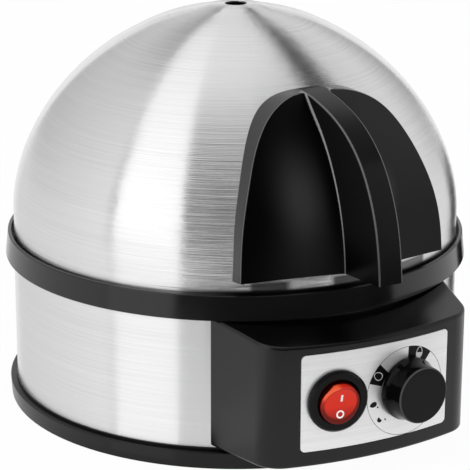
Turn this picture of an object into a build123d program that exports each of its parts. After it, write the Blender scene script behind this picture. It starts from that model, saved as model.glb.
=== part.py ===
from build123d import *
import math
import os

os.makedirs("parts", exist_ok=True)

# Everything is in millimetres, Z up. The origin is the round body's axis at table level.
# The control box and the lid's handle point along -Y.

# Clearances
seat_gap = 0.3
sleeve_gap = 0.35
running_gap = 0.06
pin_gap = 0.05

# Reach of cutters past what they cut, and the slots in the screws' heads
cut_past = 9.0
slot_half_width = 0.5
slot_depth = 0.9
slot_half_length = 2.2

# Round body
jacket_radius = 89.2
jacket_wall = 0.5
jacket_height = 51.3

# Foot moulding
foot_taper = 0.4
foot_rim_width = 3.2
pad_proud = 0.3
floor_low = 2.6
floor_thickness = 2.4
lip_overhang = 2.8
lip_height = 6.9
lip_round = 0.5
lip_step_inset = 2.4
lip_step_height = 1.0
collar_height = 6.0
collar_thickness = 2.0
lip_radius = jacket_radius + lip_overhang
foot_radius = lip_radius - foot_taper
floor_top = floor_low + floor_thickness
shoulder = lip_height + lip_step_height
jacket_inner = jacket_radius - jacket_wall
jacket_top = shoulder + jacket_height
collar_outer = jacket_inner - sleeve_gap
collar_inner = collar_outer - collar_thickness

# Black ring that carries the pan and receives the lid
ring_overhang = 3.3
ring_taper = 1.0
ring_height = 9.3
rim_wall = 1.5
rim_round = 0.5
channel_depth = 6.9
ledge_step = 1.2
ledge_width = 7.6
ring_web = 2.0
ring_deck = 2.0
ring_skirt = 6.2
ring_radius_low = jacket_radius + ring_overhang
ring_radius_top = ring_radius_low - ring_taper
ring_top = jacket_top + ring_height
channel_floor = ring_top - channel_depth
ledge_top = channel_floor - ledge_step
rim_inner = ring_radius_top - rim_wall

# Lid
lid_play = 1.0
lid_wall = 0.5
lid_straight = 14.9
dome_height = 81.9
dome_power = 1.87
hem_height = 3.0
hem_extra = 0.6
hem_play = 1.3
steam_hole_radius = 4.3
lid_radius = rim_inner - lid_play
lid_bottom = channel_floor
dome_base = lid_bottom + lid_straight
hem_inner = lid_radius - lid_wall - hem_extra
channel_inner = hem_inner - hem_play
ledge_inner = channel_inner - ledge_width

# Screw posts under the ring
post_radius = 3.8
post_count = 4
post_circle = collar_inner - post_radius - sleeve_gap
base_screw_radius = 1.25
base_screw_reach = 12.0
base_screw_head_radius = 3.2
base_screw_head_height = 1.8

# Rubber pads
pad_radius = 7.0
pad_inset = 8.2
pad_count = 4
pad_stem_radius = 1.8
pad_circle = post_circle - pad_inset

# Floor vents
vent_count = 12
vent_inner = 32.0
vent_outer = 58.0
vent_width = 3.2

# Heating pan, seal and heater stack
seal_thickness = 0.6
pan_wall = 0.8
pan_play = 0.4
pan_shoulder = 2.0
pan_slope = 6.0
pan_depth = 14.0
pan_well_radius = 52.0
pan_well_depth = 1.6
pan_flange_radius = channel_inner - pan_play
pan_mouth = ledge_inner - pan_shoulder
pan_floor_radius = pan_mouth - pan_slope
pan_flange_low = ledge_top + seal_thickness
pan_flange_top = pan_flange_low + pan_wall
pan_floor_low = pan_flange_low - pan_depth
pan_well_low = pan_floor_low - pan_well_depth
heat_plate_radius = 48.0
heat_plate_thickness = 3.0
heat_plate_low = pan_well_low - heat_plate_thickness
element_tube = 3.2
element_circle = 37.0
element_leg = 16.0
element_sweep = 300.0
thermostat_radius = 8.5
thermostat_height = 10.0
thermostat_step = 1.5
thermostat_flange = 5.0
clip_sheet = 1.0
clip_half = 4.0
clip_span = 19.0
clip_foot = 6.0
fuse_radius = 2.0
fuse_length = 11.0
fuse_offset = 22.0
fuse_lead_radius = 0.5
fuse_lead_length = 6.0
cradle_sheet = 0.6
shield_radius = 62.0
shield_drop = 14.0
shield_wall = 0.8
shield_rim = 6.0
stud_radius = 2.0
stud_circle = 44.5
stud_count = 3
stud_turn = 30.0

# Egg tray
tray_play = 3.9
tray_drop = 0.4
tray_thickness = 2.0
tray_skirt = 2.0
tray_round = 0.6
tray_margin = 31.0
well_mouth = 19.0
well_bottom = 15.0
well_depth = 11.0
well_wall = 1.5
well_count = 6
well_turn = 30.0
grip_width = 22.0
grip_height = 14.0
grip_thickness = 2.6
grip_inset = 6.0
grip_round = 5.0
drain_radius_inner = 3.5
drain_radius_outer = 3.0
drain_inset = 14.0
tray_radius = hem_inner - tray_play
tray_top = ring_top - tray_drop
well_circle = tray_radius - tray_margin
grip_circle = tray_radius - grip_inset
drain_circle_inner = well_circle / math.sqrt(3)
drain_circle_outer = tray_radius - drain_inset

# Lid handle
arch_half_width = 43.8
arch_height = 67.0
fin_height = 67.6
fin_depth = 68.8
fin_inset = 41.0
fin_half_width = 5.0
outline_drop = 6.5
bottom_drop = 2.9
bottom_slope = 0.08
bottom_inset = 12.0
handle_gap = 0.3
handle_root_round = 1.2
handle_edge_round = 0.7
handle_screw_radius = 1.75
handle_screw_low = 9.5
handle_screw_pitch = 20.0
handle_screw_reach = 14.0
handle_head_radius = 3.6
handle_head_height = 2.2
washer_radius = 5.0
washer_thickness = 0.8
scoop_middle_x = 21.0
scoop_edge_x = 50.0
outline_low = dome_base - outline_drop
fin_back = lid_radius - fin_inset

# Handle outlines as shares: across and up for the arch, forward and up for the fin and scoops
arch_outline = (
    (1.0000, 0.0000),
    (0.9954, 0.0896),
    (0.9566, 0.3433),
    (0.8402, 0.5970),
    (0.6712, 0.8134),
    (0.5297, 0.9149),
    (0.3836, 0.9687),
    (0.2100, 0.9940),
    (0.0000, 1.0000),
)
fin_front = (
    (0.0000, 1.0000),
    (0.1453, 0.9941),
    (0.2616, 0.9763),
    (0.3837, 0.9482),
    (0.5058, 0.9083),
    (0.6134, 0.8550),
    (0.7049, 0.7899),
    (0.7820, 0.7145),
    (0.8488, 0.6213),
    (0.9026, 0.5178),
    (0.9462, 0.3994),
    (0.9753, 0.2663),
    (0.9927, 0.1331),
    (1.0000, 0.0000),
)
scoop_heights = (0.0000, 0.1194, 0.3433, 0.6119, 0.8209, 0.9194, 1.0224)
scoop_root = (0.6570, 0.6526, 0.6163, 0.5145, 0.3721, 0.2762, 0.1802)
scoop_middle = (0.5930, 0.5887, 0.5552, 0.4622, 0.3517, 0.3023, 0.2674)
scoop_edge = (0.5145, 0.5116, 0.4884, 0.4215, 0.3459, 0.3256, 0.3140)

# Control box
bow_radius = 150.0
box_reach = 21.3
box_lift = 0.6
box_drop = 4.0
box_top_slope = 0.12
box_front_half = 43.2
box_splay = 8.2
box_overlap = 19.2
box_corner = 12.0
box_wall = 2.4
box_edge = 1.2
boss_inset_x = 9.7
boss_inset_y = 15.5
boss_radius = 3.4
boss_height = 9.0
boss_web = 14.0
lug_gap = 0.5
lug_inset = 3.5
lug_reach = 10.2
lug_lift = 8.0
lug_drop = 7.0
box_front = jacket_radius + box_reach
box_back = jacket_radius - box_overlap
box_bottom = shoulder + box_lift
box_front_top = jacket_top - box_drop
box_back_half = box_front_half + box_splay
boss_x = box_front_half - boss_inset_x
boss_y = boss_inset_y - box_front
floor_panel_inset = 0.5
floor_panel_thickness = 2.0
box_screw_radius = 1.25
box_screw_head_radius = 2.6
box_screw_head_low = 0.6
box_screw_seat = 1.0
box_screw_grip = 6.5
bow_centre = bow_radius - box_front
plate_margin = 11.8
plate_margin_low = 6.1
plate_margin_high = 3.2
plate_corner = 1.8
plate_thickness = 0.6
plate_proud = 0.2
window_margin = 6.2
window_lift = 1.4
window_drop = 1.0
window_corner = 3.0
plate_half = box_front_half - plate_margin
plate_low = box_bottom + plate_margin_low
plate_high = box_front_top - plate_margin_high
plate_middle = (plate_low + plate_high) / 2
window_half = box_front_half - window_margin
window_low = plate_low + window_lift
window_high = plate_high - window_drop

# Rocker switch
switch_angle = -6.75
switch_rise = 0.1
bezel_radius = 11.75
bezel_thickness = 1.9
bezel_bevel = 0.8
bezel_round = 0.4
barrel_radius = 10.0
barrel_length = 15.0
rocker_hole = 8.35
rocker_radius = 7.75
rocker_depth = 5.0
rocker_proud = 1.2
rocker_hollow_radius = 28.0
rocker_tilt = 8.0
rocker_pin_radius = 1.2
rocker_pin_depth = 3.0
switch_height = plate_middle + switch_rise

# Rotary regulator and its knob
knob_angle = 4.5
knob_skirt_radius = 12.0
knob_waist_radius = 11.1
knob_face_radius = 10.7
knob_height = 9.7
knob_skirt_height = 1.6
knob_clear = 1.0
knob_hollow_radius = 8.2
knob_hollow_depth = 4.0
knob_round = 0.8
shaft_radius = 3.0
shaft_flat = 1.0
bush_radius = 4.6
nut_flats = 11.0
nut_thickness = 2.2
regulator_width = 24.0
regulator_height = 26.0
regulator_depth = 13.0
blade_width = 6.3
blade_thickness = 0.8
blade_length = 8.0
knob_centre_height = plate_middle

# Cord inlet at the back
inlet_height = 22.0
inlet_bore = 3.5
inlet_neck = 6.0
inlet_flange = 8.5
inlet_flange_thickness = 2.0
inlet_inner_length = 6.0


def spin(points):
    """Solid of revolution about the Z axis from (radius, height) corners."""
    face = make_face(Polyline(*points, close=True))
    return revolve(Plane.XZ * face, Axis.Z)


def rod(radius, low, high, x=0.0, y=0.0):
    """Upright round bar between two heights."""
    return Pos(x, y, low) * Cylinder(radius, high - low, align=(Align.CENTER, Align.CENTER, Align.MIN))


def block(x0, x1, y0, y1, z0, z1):
    """Box between two corners."""
    return Pos(x0, y0, z0) * Box(x1 - x0, y1 - y0, z1 - z0, align=(Align.MIN, Align.MIN, Align.MIN))


def ring_of(shape, count, start=0.0):
    """Copies of a shape turned about the Z axis."""
    return [Rot(0, 0, start + 360.0 * i / count) * shape for i in range(count)]


def circles_at(shape, z):
    """Round edges of a shape that lie at a height."""
    return shape.edges().filter_by(GeomType.CIRCLE).filter_by_position(Axis.Z, z - 0.01, z + 0.01)


def save(name, shape):
    """Writes one sub-part, as a group when it has several solids."""
    solids = shape if isinstance(shape, list) else [shape]
    parts = [s for item in solids for s in item.solids()]
    export_step(parts[0] if len(parts) == 1 else Compound(children=parts), f"parts/{name}.step")


# The lid's curved profile
def dome_points(offset, count=11):
    """Points on the dome's meridian, moved outwards by an offset."""
    radius = lid_radius + offset
    height = dome_height + offset
    points = []
    for i in range(count):
        angle = math.radians(90.0 * i / (count - 1))
        across = radius * max(math.cos(angle), 0.0) ** (2.0 / dome_power)
        up = height * math.sin(angle) ** (2.0 / dome_power)
        points.append((across, dome_base + up))
    return points


def dome_radius_at(z, offset=0.0):
    """Radius of the dome at a height."""
    share = (z - dome_base) / (dome_height + offset)
    return (lid_radius + offset) * (1.0 - share**dome_power) ** (1.0 / dome_power)


def dome_solid(offset):
    """Solid under the dome's outer face, moved outwards by an offset."""
    radius = lid_radius + offset
    arc = Spline(*dome_points(offset), tangents=((0, 1), (-1, 0)))
    top = dome_base + dome_height + offset
    rest = Polyline((0, top), (0, lid_bottom - 20), (radius, lid_bottom - 20), (radius, dome_base))
    return revolve(Plane.XZ * make_face(Curve() + [arc, rest]), Axis.Z)


lid_shell = dome_solid(0.0) - dome_solid(-lid_wall) - rod(lid_radius + 5, 0, lid_bottom)
hem = spin(
    (
        (lid_radius - lid_wall + 0.01, lid_bottom),
        (lid_radius - lid_wall + 0.01, lid_bottom + hem_height),
        (hem_inner, lid_bottom + hem_height),
        (hem_inner, lid_bottom),
    )
)
dome_apex = dome_base + dome_height
lid_dome = lid_shell + hem
lid_dome -= rod(steam_hole_radius, dome_apex - 20, dome_apex + 10)


# Handle: an arched shield with a central fin and a finger scoop on each side
def forward(share):
    """Y of a share of the handle's depth."""
    return -(fin_back + fin_depth * share)


def side_face(points, front):
    """Face in the YZ plane between a curve and a straight front line."""
    curve = Spline(*points)
    last_y, last_z = points[-1]
    first_y, first_z = points[0]
    rest = Polyline((last_y, last_z), (front, last_z), (front, first_z), (first_y, first_z))
    return make_face(Curve() + [curve, rest])


def scoop(side):
    """Cutter whose back face is the dished finger rest on one side of the fin."""
    profiles = (
        (fin_half_width, scoop_root),
        (scoop_middle_x, scoop_middle),
        (scoop_edge_x, scoop_edge),
    )
    sections = []
    for x, depths in profiles:
        heights = [outline_low + arch_height * up for up in scoop_heights]
        points = [(forward(depth), z) for depth, z in zip(depths, heights)]
        sections.append(Pos(side * x, 0, 0) * (Plane.YZ * side_face(points, forward(1.5))))
    return loft(sections)


arch_right = [(arch_half_width * across, outline_low + arch_height * up) for across, up in arch_outline]
arch_left = [(-x, z) for x, z in reversed(arch_right[:-1])]
arch_points = arch_right + arch_left
arch_curve = Spline(*arch_points)
arch_base = Line(arch_points[-1], arch_points[0])
arch_face = make_face(Curve() + [arch_curve, arch_base])
arch = Pos(0, forward(0), 0) * extrude(Plane.XZ * arch_face, 1.2 * fin_depth)
fin_points = [(forward(depth), outline_low + fin_height * up) for depth, up in fin_front]
fin_curve = Spline(*fin_points)
fin_rest = Polyline(fin_points[-1], (forward(0), outline_low), fin_points[0])
fin_face = make_face(Curve() + [fin_curve, fin_rest])
fin_side = Pos(-arch_half_width - 1, 0, 0) * extrude(Plane.YZ * fin_face, 2 * arch_half_width + 2)
handle = (arch & fin_side) - scoop(1) - scoop(-1)


def is_root_edge(edge):
    """Whether an edge is where the fin meets a finger scoop."""
    middle = edge.center()
    on_side = abs(abs(middle.X) - fin_half_width) < 0.01
    return on_side and middle.Y > forward(0.68) and edge.length > 0.45 * arch_height


def is_front_edge(edge):
    """Whether an edge borders the fin's front, the arch's front rim or the crest."""
    middle = edge.center()
    is_long = edge.length > 0.9 * arch_height
    on_fin = middle.Y < forward(0.68)
    on_rim = abs(middle.X) > 0.68 * arch_half_width
    is_high = middle.Z > outline_low + 0.985 * arch_height
    on_crest = is_high and forward(0.24) < middle.Y < forward(0.16)
    return (is_long and (on_fin or on_rim)) or on_crest


handle = fillet([e for e in handle.edges() if is_root_edge(e)], handle_root_round)
handle = fillet([e for e in handle.edges() if is_front_edge(e)], handle_edge_round)
bottom_y = bottom_inset - lid_radius
bottom_z = dome_base - bottom_drop
bottom_run = fin_depth
bottom_cut = make_face(
    Polyline(
        (bottom_y + bottom_run, bottom_z - bottom_slope * bottom_run),
        (bottom_y - bottom_run, bottom_z + bottom_slope * bottom_run),
        (bottom_y - bottom_run, bottom_z - bottom_run),
        (bottom_y + bottom_run, bottom_z - bottom_run),
        close=True,
    )
)
handle -= extrude(Plane.YZ * bottom_cut, 2 * arch_half_width, both=True)
handle -= dome_solid(handle_gap)


def normal_frame(z):
    """Plane on the dome's front at a height, with its normal pointing outwards."""
    step = 0.5
    rise = dome_radius_at(z + step) - dome_radius_at(z - step)
    tilt = math.atan2(-rise, 2 * step)
    origin = (0, -dome_radius_at(z), z)
    return Plane(origin=origin, x_dir=(1, 0, 0), z_dir=(0, -math.cos(tilt), math.sin(tilt)))


handle_screws = []
handle_washers = []
for row in (0, 1):
    seat = normal_frame(dome_base + handle_screw_low + handle_screw_pitch * row)
    inner = -lid_wall - seat_gap
    hole = seat * rod(handle_screw_radius + pin_gap, -1, handle_screw_reach + 0.6)
    handle -= hole
    wide_hole = rod(handle_screw_radius + sleeve_gap, -cut_past, cut_past)
    lid_dome -= seat * wide_hole
    handle_washers.append(seat * (rod(washer_radius, inner - washer_thickness, inner) - wide_hole))
    head_top = inner - washer_thickness
    head = rod(handle_head_radius, head_top - handle_head_height, head_top)
    shank = rod(handle_screw_radius, head_top - 0.5, handle_screw_reach)
    head_low = head_top - handle_head_height
    slot = block(-slot_half_width, slot_half_width, -cut_past, cut_past, head_low - 1, head_low + slot_depth)
    cross = slot + Rot(0, 0, 90) * slot
    handle_screws.append(seat * (head + shank - cross))

save("lid_dome", lid_dome)
save("handle", handle)
save("handle_screws", handle_screws)
save("handle_washers", handle_washers)

# Foot moulding with its floor, collar, vents and holes
rim_inner_radius = foot_radius - foot_rim_width
foot = spin(
    (
        (0, floor_low),
        (rim_inner_radius, floor_low),
        (rim_inner_radius, pad_proud),
        (foot_radius, pad_proud),
        (lip_radius, lip_height),
        (lip_radius - lip_step_inset, lip_height),
        (lip_radius - lip_step_inset, shoulder),
        (collar_outer, shoulder),
        (collar_outer, shoulder + collar_height),
        (collar_inner, shoulder + collar_height),
        (collar_inner, floor_top),
        (0, floor_top),
    )
)
foot = fillet([e for e in circles_at(foot, lip_height) if e.radius > lip_radius - 0.1], lip_round)
vent_middle = (vent_inner + vent_outer) / 2
vent_slot = SlotOverall(vent_outer - vent_inner, vent_width)
vent = Pos(vent_middle, 0, floor_low - 1) * extrude(vent_slot, floor_thickness + 2)
for cutter in ring_of(vent, vent_count, 15.0):
    foot -= cutter
post_start = 45.0
screw_hole = rod(base_screw_radius + sleeve_gap, floor_low - 1, floor_top + 1, post_circle)
for cutter in ring_of(screw_hole, post_count, post_start):
    foot -= cutter
stem_hole = rod(pad_stem_radius + pin_gap, floor_low - 1, floor_top + 1, pad_circle)
for cutter in ring_of(stem_hole, pad_count):
    foot -= cutter
save("foot_base", foot)

pad = rod(pad_radius, 0, floor_low, pad_circle)
pad = chamfer(pad.edges().filter_by(GeomType.CIRCLE).sort_by(Axis.Z)[0], 0.5)
pad += rod(pad_stem_radius, floor_low, floor_top + 0.8, pad_circle)
save("rubber_feet", ring_of(pad, pad_count))

base_screw = rod(base_screw_head_radius, floor_low - base_screw_head_height, floor_low, post_circle)
base_screw += rod(base_screw_radius, floor_low, floor_top + base_screw_reach, post_circle)
drive_top = floor_low - base_screw_head_height + slot_depth
drive = block(-slot_half_width, slot_half_width, -slot_half_length, slot_half_length, 0, drive_top)
drive = Pos(post_circle, 0, 0) * (drive + Rot(0, 0, 90) * drive)
save("base_screws", ring_of(base_screw - drive, post_count, post_start))

# Jacket with the window behind the control box and the hole for the cord inlet
jacket = rod(jacket_radius, shoulder, jacket_top) - rod(jacket_inner, shoulder - 1, jacket_top + 1)
window = RectangleRounded(2 * window_half, window_high - window_low, window_corner)
window_cut = extrude(window, jacket_radius + cut_past)
jacket -= Pos(0, 0, (window_low + window_high) / 2) * Rot(90, 0, 0) * window_cut
inlet_axis = Plane(origin=(0, 0, inlet_height), x_dir=(1, 0, 0), z_dir=(0, 1, 0))
jacket -= inlet_axis * rod(inlet_neck + seat_gap, 0, jacket_radius + cut_past)
save("jacket", jacket)

# Ring
ring = spin(
    (
        (ring_radius_low, jacket_top),
        (ring_radius_top, ring_top),
        (rim_inner, ring_top),
        (rim_inner, channel_floor),
        (channel_inner, channel_floor),
        (channel_inner, ledge_top),
        (ledge_inner, ledge_top),
        (ledge_inner, ledge_top - ring_skirt),
        (ledge_inner + ring_web, ledge_top - ring_skirt),
        (ledge_inner + ring_web, ledge_top - ring_deck),
        (collar_inner, ledge_top - ring_deck),
        (collar_inner, jacket_top - ring_skirt),
        (collar_outer, jacket_top - ring_skirt),
        (collar_outer, jacket_top),
    )
)
ring = fillet(circles_at(ring, ring_top), rim_round)
post = rod(post_radius, floor_top, ledge_top - ring_deck + 0.5, post_circle)
post_hole = rod(base_screw_radius + pin_gap, floor_top - 1, floor_top + base_screw_reach + 1, post_circle)
for item in ring_of(post, post_count, post_start):
    ring += item
for item in ring_of(post_hole, post_count, post_start):
    ring -= item
save("top_ring", ring)

# Seal and pan
seal = spin(
    (
        (pan_flange_radius, ledge_top),
        (pan_flange_radius, pan_flange_low),
        (ledge_inner + 1, pan_flange_low),
        (ledge_inner + 1, ledge_top),
    )
)
save("pan_seal", seal)


def pan_profile(lift):
    """Pan's lower or upper face as (radius, height) corners from flange to centre."""
    return [
        (pan_flange_radius, pan_flange_low + lift),
        (pan_mouth - lift * 0.6, pan_flange_low + lift),
        (pan_floor_radius - lift, pan_floor_low + lift),
        (pan_well_radius + 2 - lift * 0.5, pan_floor_low + lift),
        (pan_well_radius - lift * 0.5, pan_well_low + lift),
        (0, pan_well_low + lift),
    ]


pan = spin(pan_profile(0.0) + list(reversed(pan_profile(pan_wall))))
save("heating_pan", pan)

heat_plate = rod(heat_plate_radius, heat_plate_low, pan_well_low)
heat_plate = chamfer(heat_plate.edges().filter_by(GeomType.CIRCLE), 0.6)
save("heat_plate", heat_plate)

# Tubular element: an open loop with two legs and connection blades
element_z = heat_plate_low - element_tube - 0.1
half_sweep = element_sweep / 2.0
loop_path = Pos(0, 0, element_z) * CenterArc((0, 0), element_circle, -90.0 - half_sweep, element_sweep)
loop_start = Plane(origin=loop_path @ 0, z_dir=loop_path % 0)
loop = sweep(loop_start * Circle(element_tube), loop_path)
legs = []
for position in (0, 1):
    end = loop_path @ position
    legs.append(rod(element_tube, element_z - element_leg, element_z, end.X, end.Y))
    legs.append(Pos(end.X, end.Y, element_z) * Sphere(element_tube))
    legs.append(
        block(
            end.X - blade_width / 2,
            end.X + blade_width / 2,
            end.Y - blade_thickness / 2,
            end.Y + blade_thickness / 2,
            element_z - element_leg - blade_length,
            element_z - element_leg + 1,
        )
    )
element = loop
for leg in legs:
    element += leg
save("heating_element", element)
leg_ends = [loop_path @ 0, loop_path @ 1]

# Thermostat under the plate's centre, with its clip
thermostat = rod(thermostat_radius, heat_plate_low - thermostat_flange, heat_plate_low)
thermostat_low = heat_plate_low - thermostat_height
thermostat += rod(thermostat_radius - thermostat_step, thermostat_low, heat_plate_low - thermostat_flange)
for side in (-1, 1):
    x = side * 4.0
    y = blade_width / 2
    half = blade_thickness / 2
    thermostat += block(x - half, x + half, -y, y, thermostat_low - blade_length, thermostat_low + 1)
save("thermostat", thermostat)
clip_top = heat_plate_low - thermostat_flange
clip_low = clip_top - clip_sheet
clip_reach = clip_span + clip_foot
clip_hole = thermostat_radius - thermostat_step + seat_gap
clip = block(-clip_span, clip_span, -clip_half, clip_half, clip_low, clip_top)
clip += rod(thermostat_radius + 2.5, clip_low, clip_top)
clip -= rod(clip_hole, clip_low - 1, clip_top + 1)
for side in (-1, 1):
    inner_x = side * (clip_span - clip_sheet)
    outer_x = side * clip_span
    end_x = side * clip_reach
    low_x, high_x = sorted((inner_x, outer_x))
    clip += block(low_x, high_x, -clip_half, clip_half, clip_low, heat_plate_low)
    low_x, high_x = sorted((inner_x, end_x))
    clip += block(low_x, high_x, -clip_half, clip_half, heat_plate_low - clip_sheet, heat_plate_low)
save("thermostat_clip", clip)

# Thermal fuse in its cradle
fuse_z = heat_plate_low - fuse_radius - 1.2
fuse_line = Pos(0, fuse_offset, fuse_z) * Rot(0, 90, 0)
fuse = fuse_line * Cylinder(fuse_radius, fuse_length)
fuse += fuse_line * Cylinder(fuse_lead_radius, fuse_length + 2 * fuse_lead_length)
cradle_half = fuse_radius + seat_gap
cradle_low = fuse_z - fuse_radius - 0.2
cradle_top = heat_plate_low - cradle_sheet
cradle_outer = cradle_half + cradle_sheet
cradle = block(-4, 4, -cradle_outer, cradle_outer, cradle_low - cradle_sheet, heat_plate_low)
cradle -= block(-5, 5, -cradle_half, cradle_half, cradle_low, cradle_top)
cradle = Pos(0, fuse_offset, 0) * cradle
save("thermal_fuse", fuse)
save("fuse_cradle", cradle)

# Heat shield hung on studs
shield_top = heat_plate_low - shield_drop
shield = spin(
    (
        (0, shield_top - shield_wall),
        (shield_radius, shield_top - shield_wall),
        (shield_radius + 1, shield_top + shield_rim),
        (shield_radius, shield_top + shield_rim),
        (shield_radius - 1, shield_top),
        (0, shield_top),
    )
)
shield -= rod(thermostat_radius - 0.5, shield_top - 3, shield_top + 3)
for end in leg_ends:
    shield -= rod(element_tube + 2.5, shield_top - 3, shield_top + 3, end.X, end.Y)
save("heat_shield", shield)
stud = rod(stud_radius, shield_top, heat_plate_low, stud_circle)
save("shield_studs", ring_of(stud, stud_count, stud_turn))


# Control box outline in plan
def box_plan(front_half, back_half, front, corner):
    """Plan of the box: straight sides that splay towards the jacket and a bowed front."""
    centre_y = front - bow_radius
    edge_y = -(centre_y + math.sqrt(bow_radius**2 - front_half**2))
    bow = ThreePointArc((-front_half, edge_y), (0, -front), (front_half, edge_y))
    back_y = -box_back
    rest = Polyline((front_half, edge_y), (back_half, back_y), (-back_half, back_y), (-front_half, edge_y))
    face = make_face(Curve() + [bow, rest])
    corners = face.vertices().sort_by(Axis.Y)[:2]
    return fillet(corners, corner)


def under_slope(drop):
    """Everything below the box's sloping top, lowered by a wall."""
    front_y = -1.5 * box_front
    back_y = -0.4 * box_front
    front_z = box_front_top - drop + box_top_slope * (front_y + box_front)
    back_z = box_front_top - drop + box_top_slope * (back_y + box_front)
    outline = Polyline((front_y, front_z), (back_y, back_z), (back_y, -20.0), (front_y, -20.0), close=True)
    return extrude(Plane.YZ * make_face(outline), 2 * box_back_half, both=True)


outer_plan = box_plan(box_front_half, box_back_half, box_front, box_corner)
box_envelope = extrude(Pos(0, 0, box_bottom) * outer_plan, jacket_top)
housing = box_envelope & under_slope(0.0)


def is_outer_edge(edge):
    """Whether an edge borders the box's top or bottom in front of the round body."""
    middle = edge.center()
    is_high = middle.Z > box_front_top - 1.5
    is_low = middle.Z < box_bottom + 0.1
    return middle.Y < -box_back - 10 and (is_high or is_low)


housing = fillet([e for e in housing.edges() if is_outer_edge(e)], box_edge)
side_inset = box_wall / math.cos(math.atan2(box_back_half - box_front_half, box_front - box_back))
inner_plan = box_plan(
    box_front_half - side_inset,
    box_back_half - side_inset,
    box_front - box_wall,
    box_corner - box_wall,
)
inner_void = extrude(Pos(0, 0, box_bottom - 5) * inner_plan, jacket_top)
housing -= inner_void & under_slope(box_wall)


def bow_shell(inner, outer, low, high):
    """Upright curved slab between two radii about the bow's centre."""
    return rod(outer, low, high, 0, bow_centre) - rod(inner, low - 1, high + 1, 0, bow_centre)


def plate_blank(grow):
    """Rounded rectangle pushed through the front, grown on every side."""
    width = 2 * (plate_half + grow)
    height = plate_high - plate_low + 2 * grow
    shape = extrude(RectangleRounded(width, height, plate_corner + grow), box_front)
    return Pos(0, -box_front / 2, plate_middle) * Rot(90, 0, 0) * shape


plate_outer = bow_radius + plate_proud
plate_inner = plate_outer - plate_thickness
recess_floor = plate_inner - seat_gap
housing -= plate_blank(sleeve_gap) & bow_shell(recess_floor, bow_radius + 5, 0, jacket_top)


def bow_frame(angle, height):
    """Plane through the bow's centre line at a height; local Z points outwards."""
    turn = math.radians(angle)
    outward = (math.sin(turn), -math.cos(turn), 0)
    across = (math.cos(turn), math.sin(turn), 0)
    return Plane(origin=(0, bow_centre, height), x_dir=across, z_dir=outward)


switch_frame = bow_frame(switch_angle, switch_height)
knob_frame = bow_frame(knob_angle, knob_centre_height)
switch_cut = switch_frame * rod(barrel_radius + seat_gap, bow_radius - 20, bow_radius + 10)
bush_cut = knob_frame * rod(bush_radius + seat_gap, bow_radius - 20, bow_radius + 10)
housing = housing - switch_cut - bush_cut
jacket_clear = rod(jacket_radius + seat_gap, 0, jacket_top)
housing -= jacket_clear
housing -= rod(ring_radius_low + seat_gap, jacket_top - seat_gap, jacket_top + 40)

# Screw bosses inside the box and lugs that reach through the jacket's window
floor_panel_low = box_bottom + floor_panel_inset
floor_panel_top = floor_panel_low + floor_panel_thickness
for side in (-1, 1):
    boss = rod(boss_radius, floor_panel_top, floor_panel_top + boss_height, side * boss_x, boss_y)
    boss_top = floor_panel_top + boss_height
    web_x = side * boss_x
    web = block(web_x - 1, web_x + 1, boss_y - boss_web, boss_y, floor_panel_top, boss_top)
    housing += (boss + web) & box_envelope & under_slope(1.0)
    housing -= rod(box_screw_radius + pin_gap, floor_panel_top - 1, boss_top - 1.5, side * boss_x, boss_y)
lug_outer = window_half - lug_gap
lug_inner = lug_outer - box_wall
for side in (-1, 1):
    low_x = min(side * lug_inner, side * lug_outer)
    lug = block(
        low_x,
        low_x + box_wall,
        lug_inset - box_front,
        lug_reach - jacket_radius,
        window_low + lug_lift,
        window_high - lug_drop,
    )
    housing += lug & box_envelope
save("control_housing", housing)

panel_gap = side_inset + seat_gap
panel_plan = box_plan(
    box_front_half - panel_gap,
    box_back_half - panel_gap,
    box_front - box_wall - seat_gap,
    box_corner - box_wall - seat_gap,
)
floor_panel = extrude(Pos(0, 0, floor_panel_low) * panel_plan, floor_panel_thickness)
floor_panel -= jacket_clear
seat_z = floor_panel_low + box_screw_seat
head_z = floor_panel_low - box_screw_head_low
for side in (-1, 1):
    floor_panel -= rod(box_screw_radius + sleeve_gap, 0, floor_panel_top + 1, side * boss_x, boss_y)
    floor_panel -= rod(box_screw_head_radius + sleeve_gap, 0, seat_z, side * boss_x, boss_y)
save("housing_floor", floor_panel)
box_screws = []
for side in (-1, 1):
    screw = rod(box_screw_head_radius, head_z, seat_z, side * boss_x, boss_y)
    screw += rod(box_screw_radius, seat_z, floor_panel_top + box_screw_grip, side * boss_x, boss_y)
    screw -= block(side * boss_x - 0.4, side * boss_x + 0.4, boss_y - 2, boss_y + 2, head_z - 1, head_z + 0.8)
    screw -= block(side * boss_x - 2, side * boss_x + 2, boss_y - 0.4, boss_y + 0.4, head_z - 1, head_z + 0.8)
    box_screws.append(screw)
save("floor_screws", box_screws)

plate = plate_blank(0.0) & bow_shell(plate_inner, plate_outer, 0, jacket_top)
plate = plate - switch_cut - bush_cut
save("control_plate", plate)

# Rocker switch
bezel_back = plate_outer + 0.15
bezel_front = bezel_back + bezel_thickness
bezel = rod(bezel_radius, bezel_back, bezel_front)
bezel = chamfer(bezel.edges().filter_by(GeomType.CIRCLE).sort_by(Axis.Z)[-1], bezel_bevel)
barrel_end = bezel_back - barrel_length
bezel += rod(barrel_radius, barrel_end, bezel_back)
pin_z = bezel_front - rocker_pin_depth
bezel -= rod(rocker_hole, pin_z - 6.5, bezel_front + 1)
pin_length = barrel_radius - 0.4
pin_bore = Pos(0, 0, pin_z) * Rot(0, 90, 0) * Cylinder(rocker_pin_radius + pin_gap, 2 * pin_length)
bezel -= pin_bore
bezel = fillet(circles_at(bezel, bezel_front).sort_by(SortBy.RADIUS)[0], bezel_round)
save("switch_bezel", switch_frame * bezel)
rocker_pin = Pos(0, 0, pin_z) * Rot(0, 90, 0) * Cylinder(rocker_pin_radius, 2 * pin_length)
save("rocker_pin", switch_frame * rocker_pin)


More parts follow.
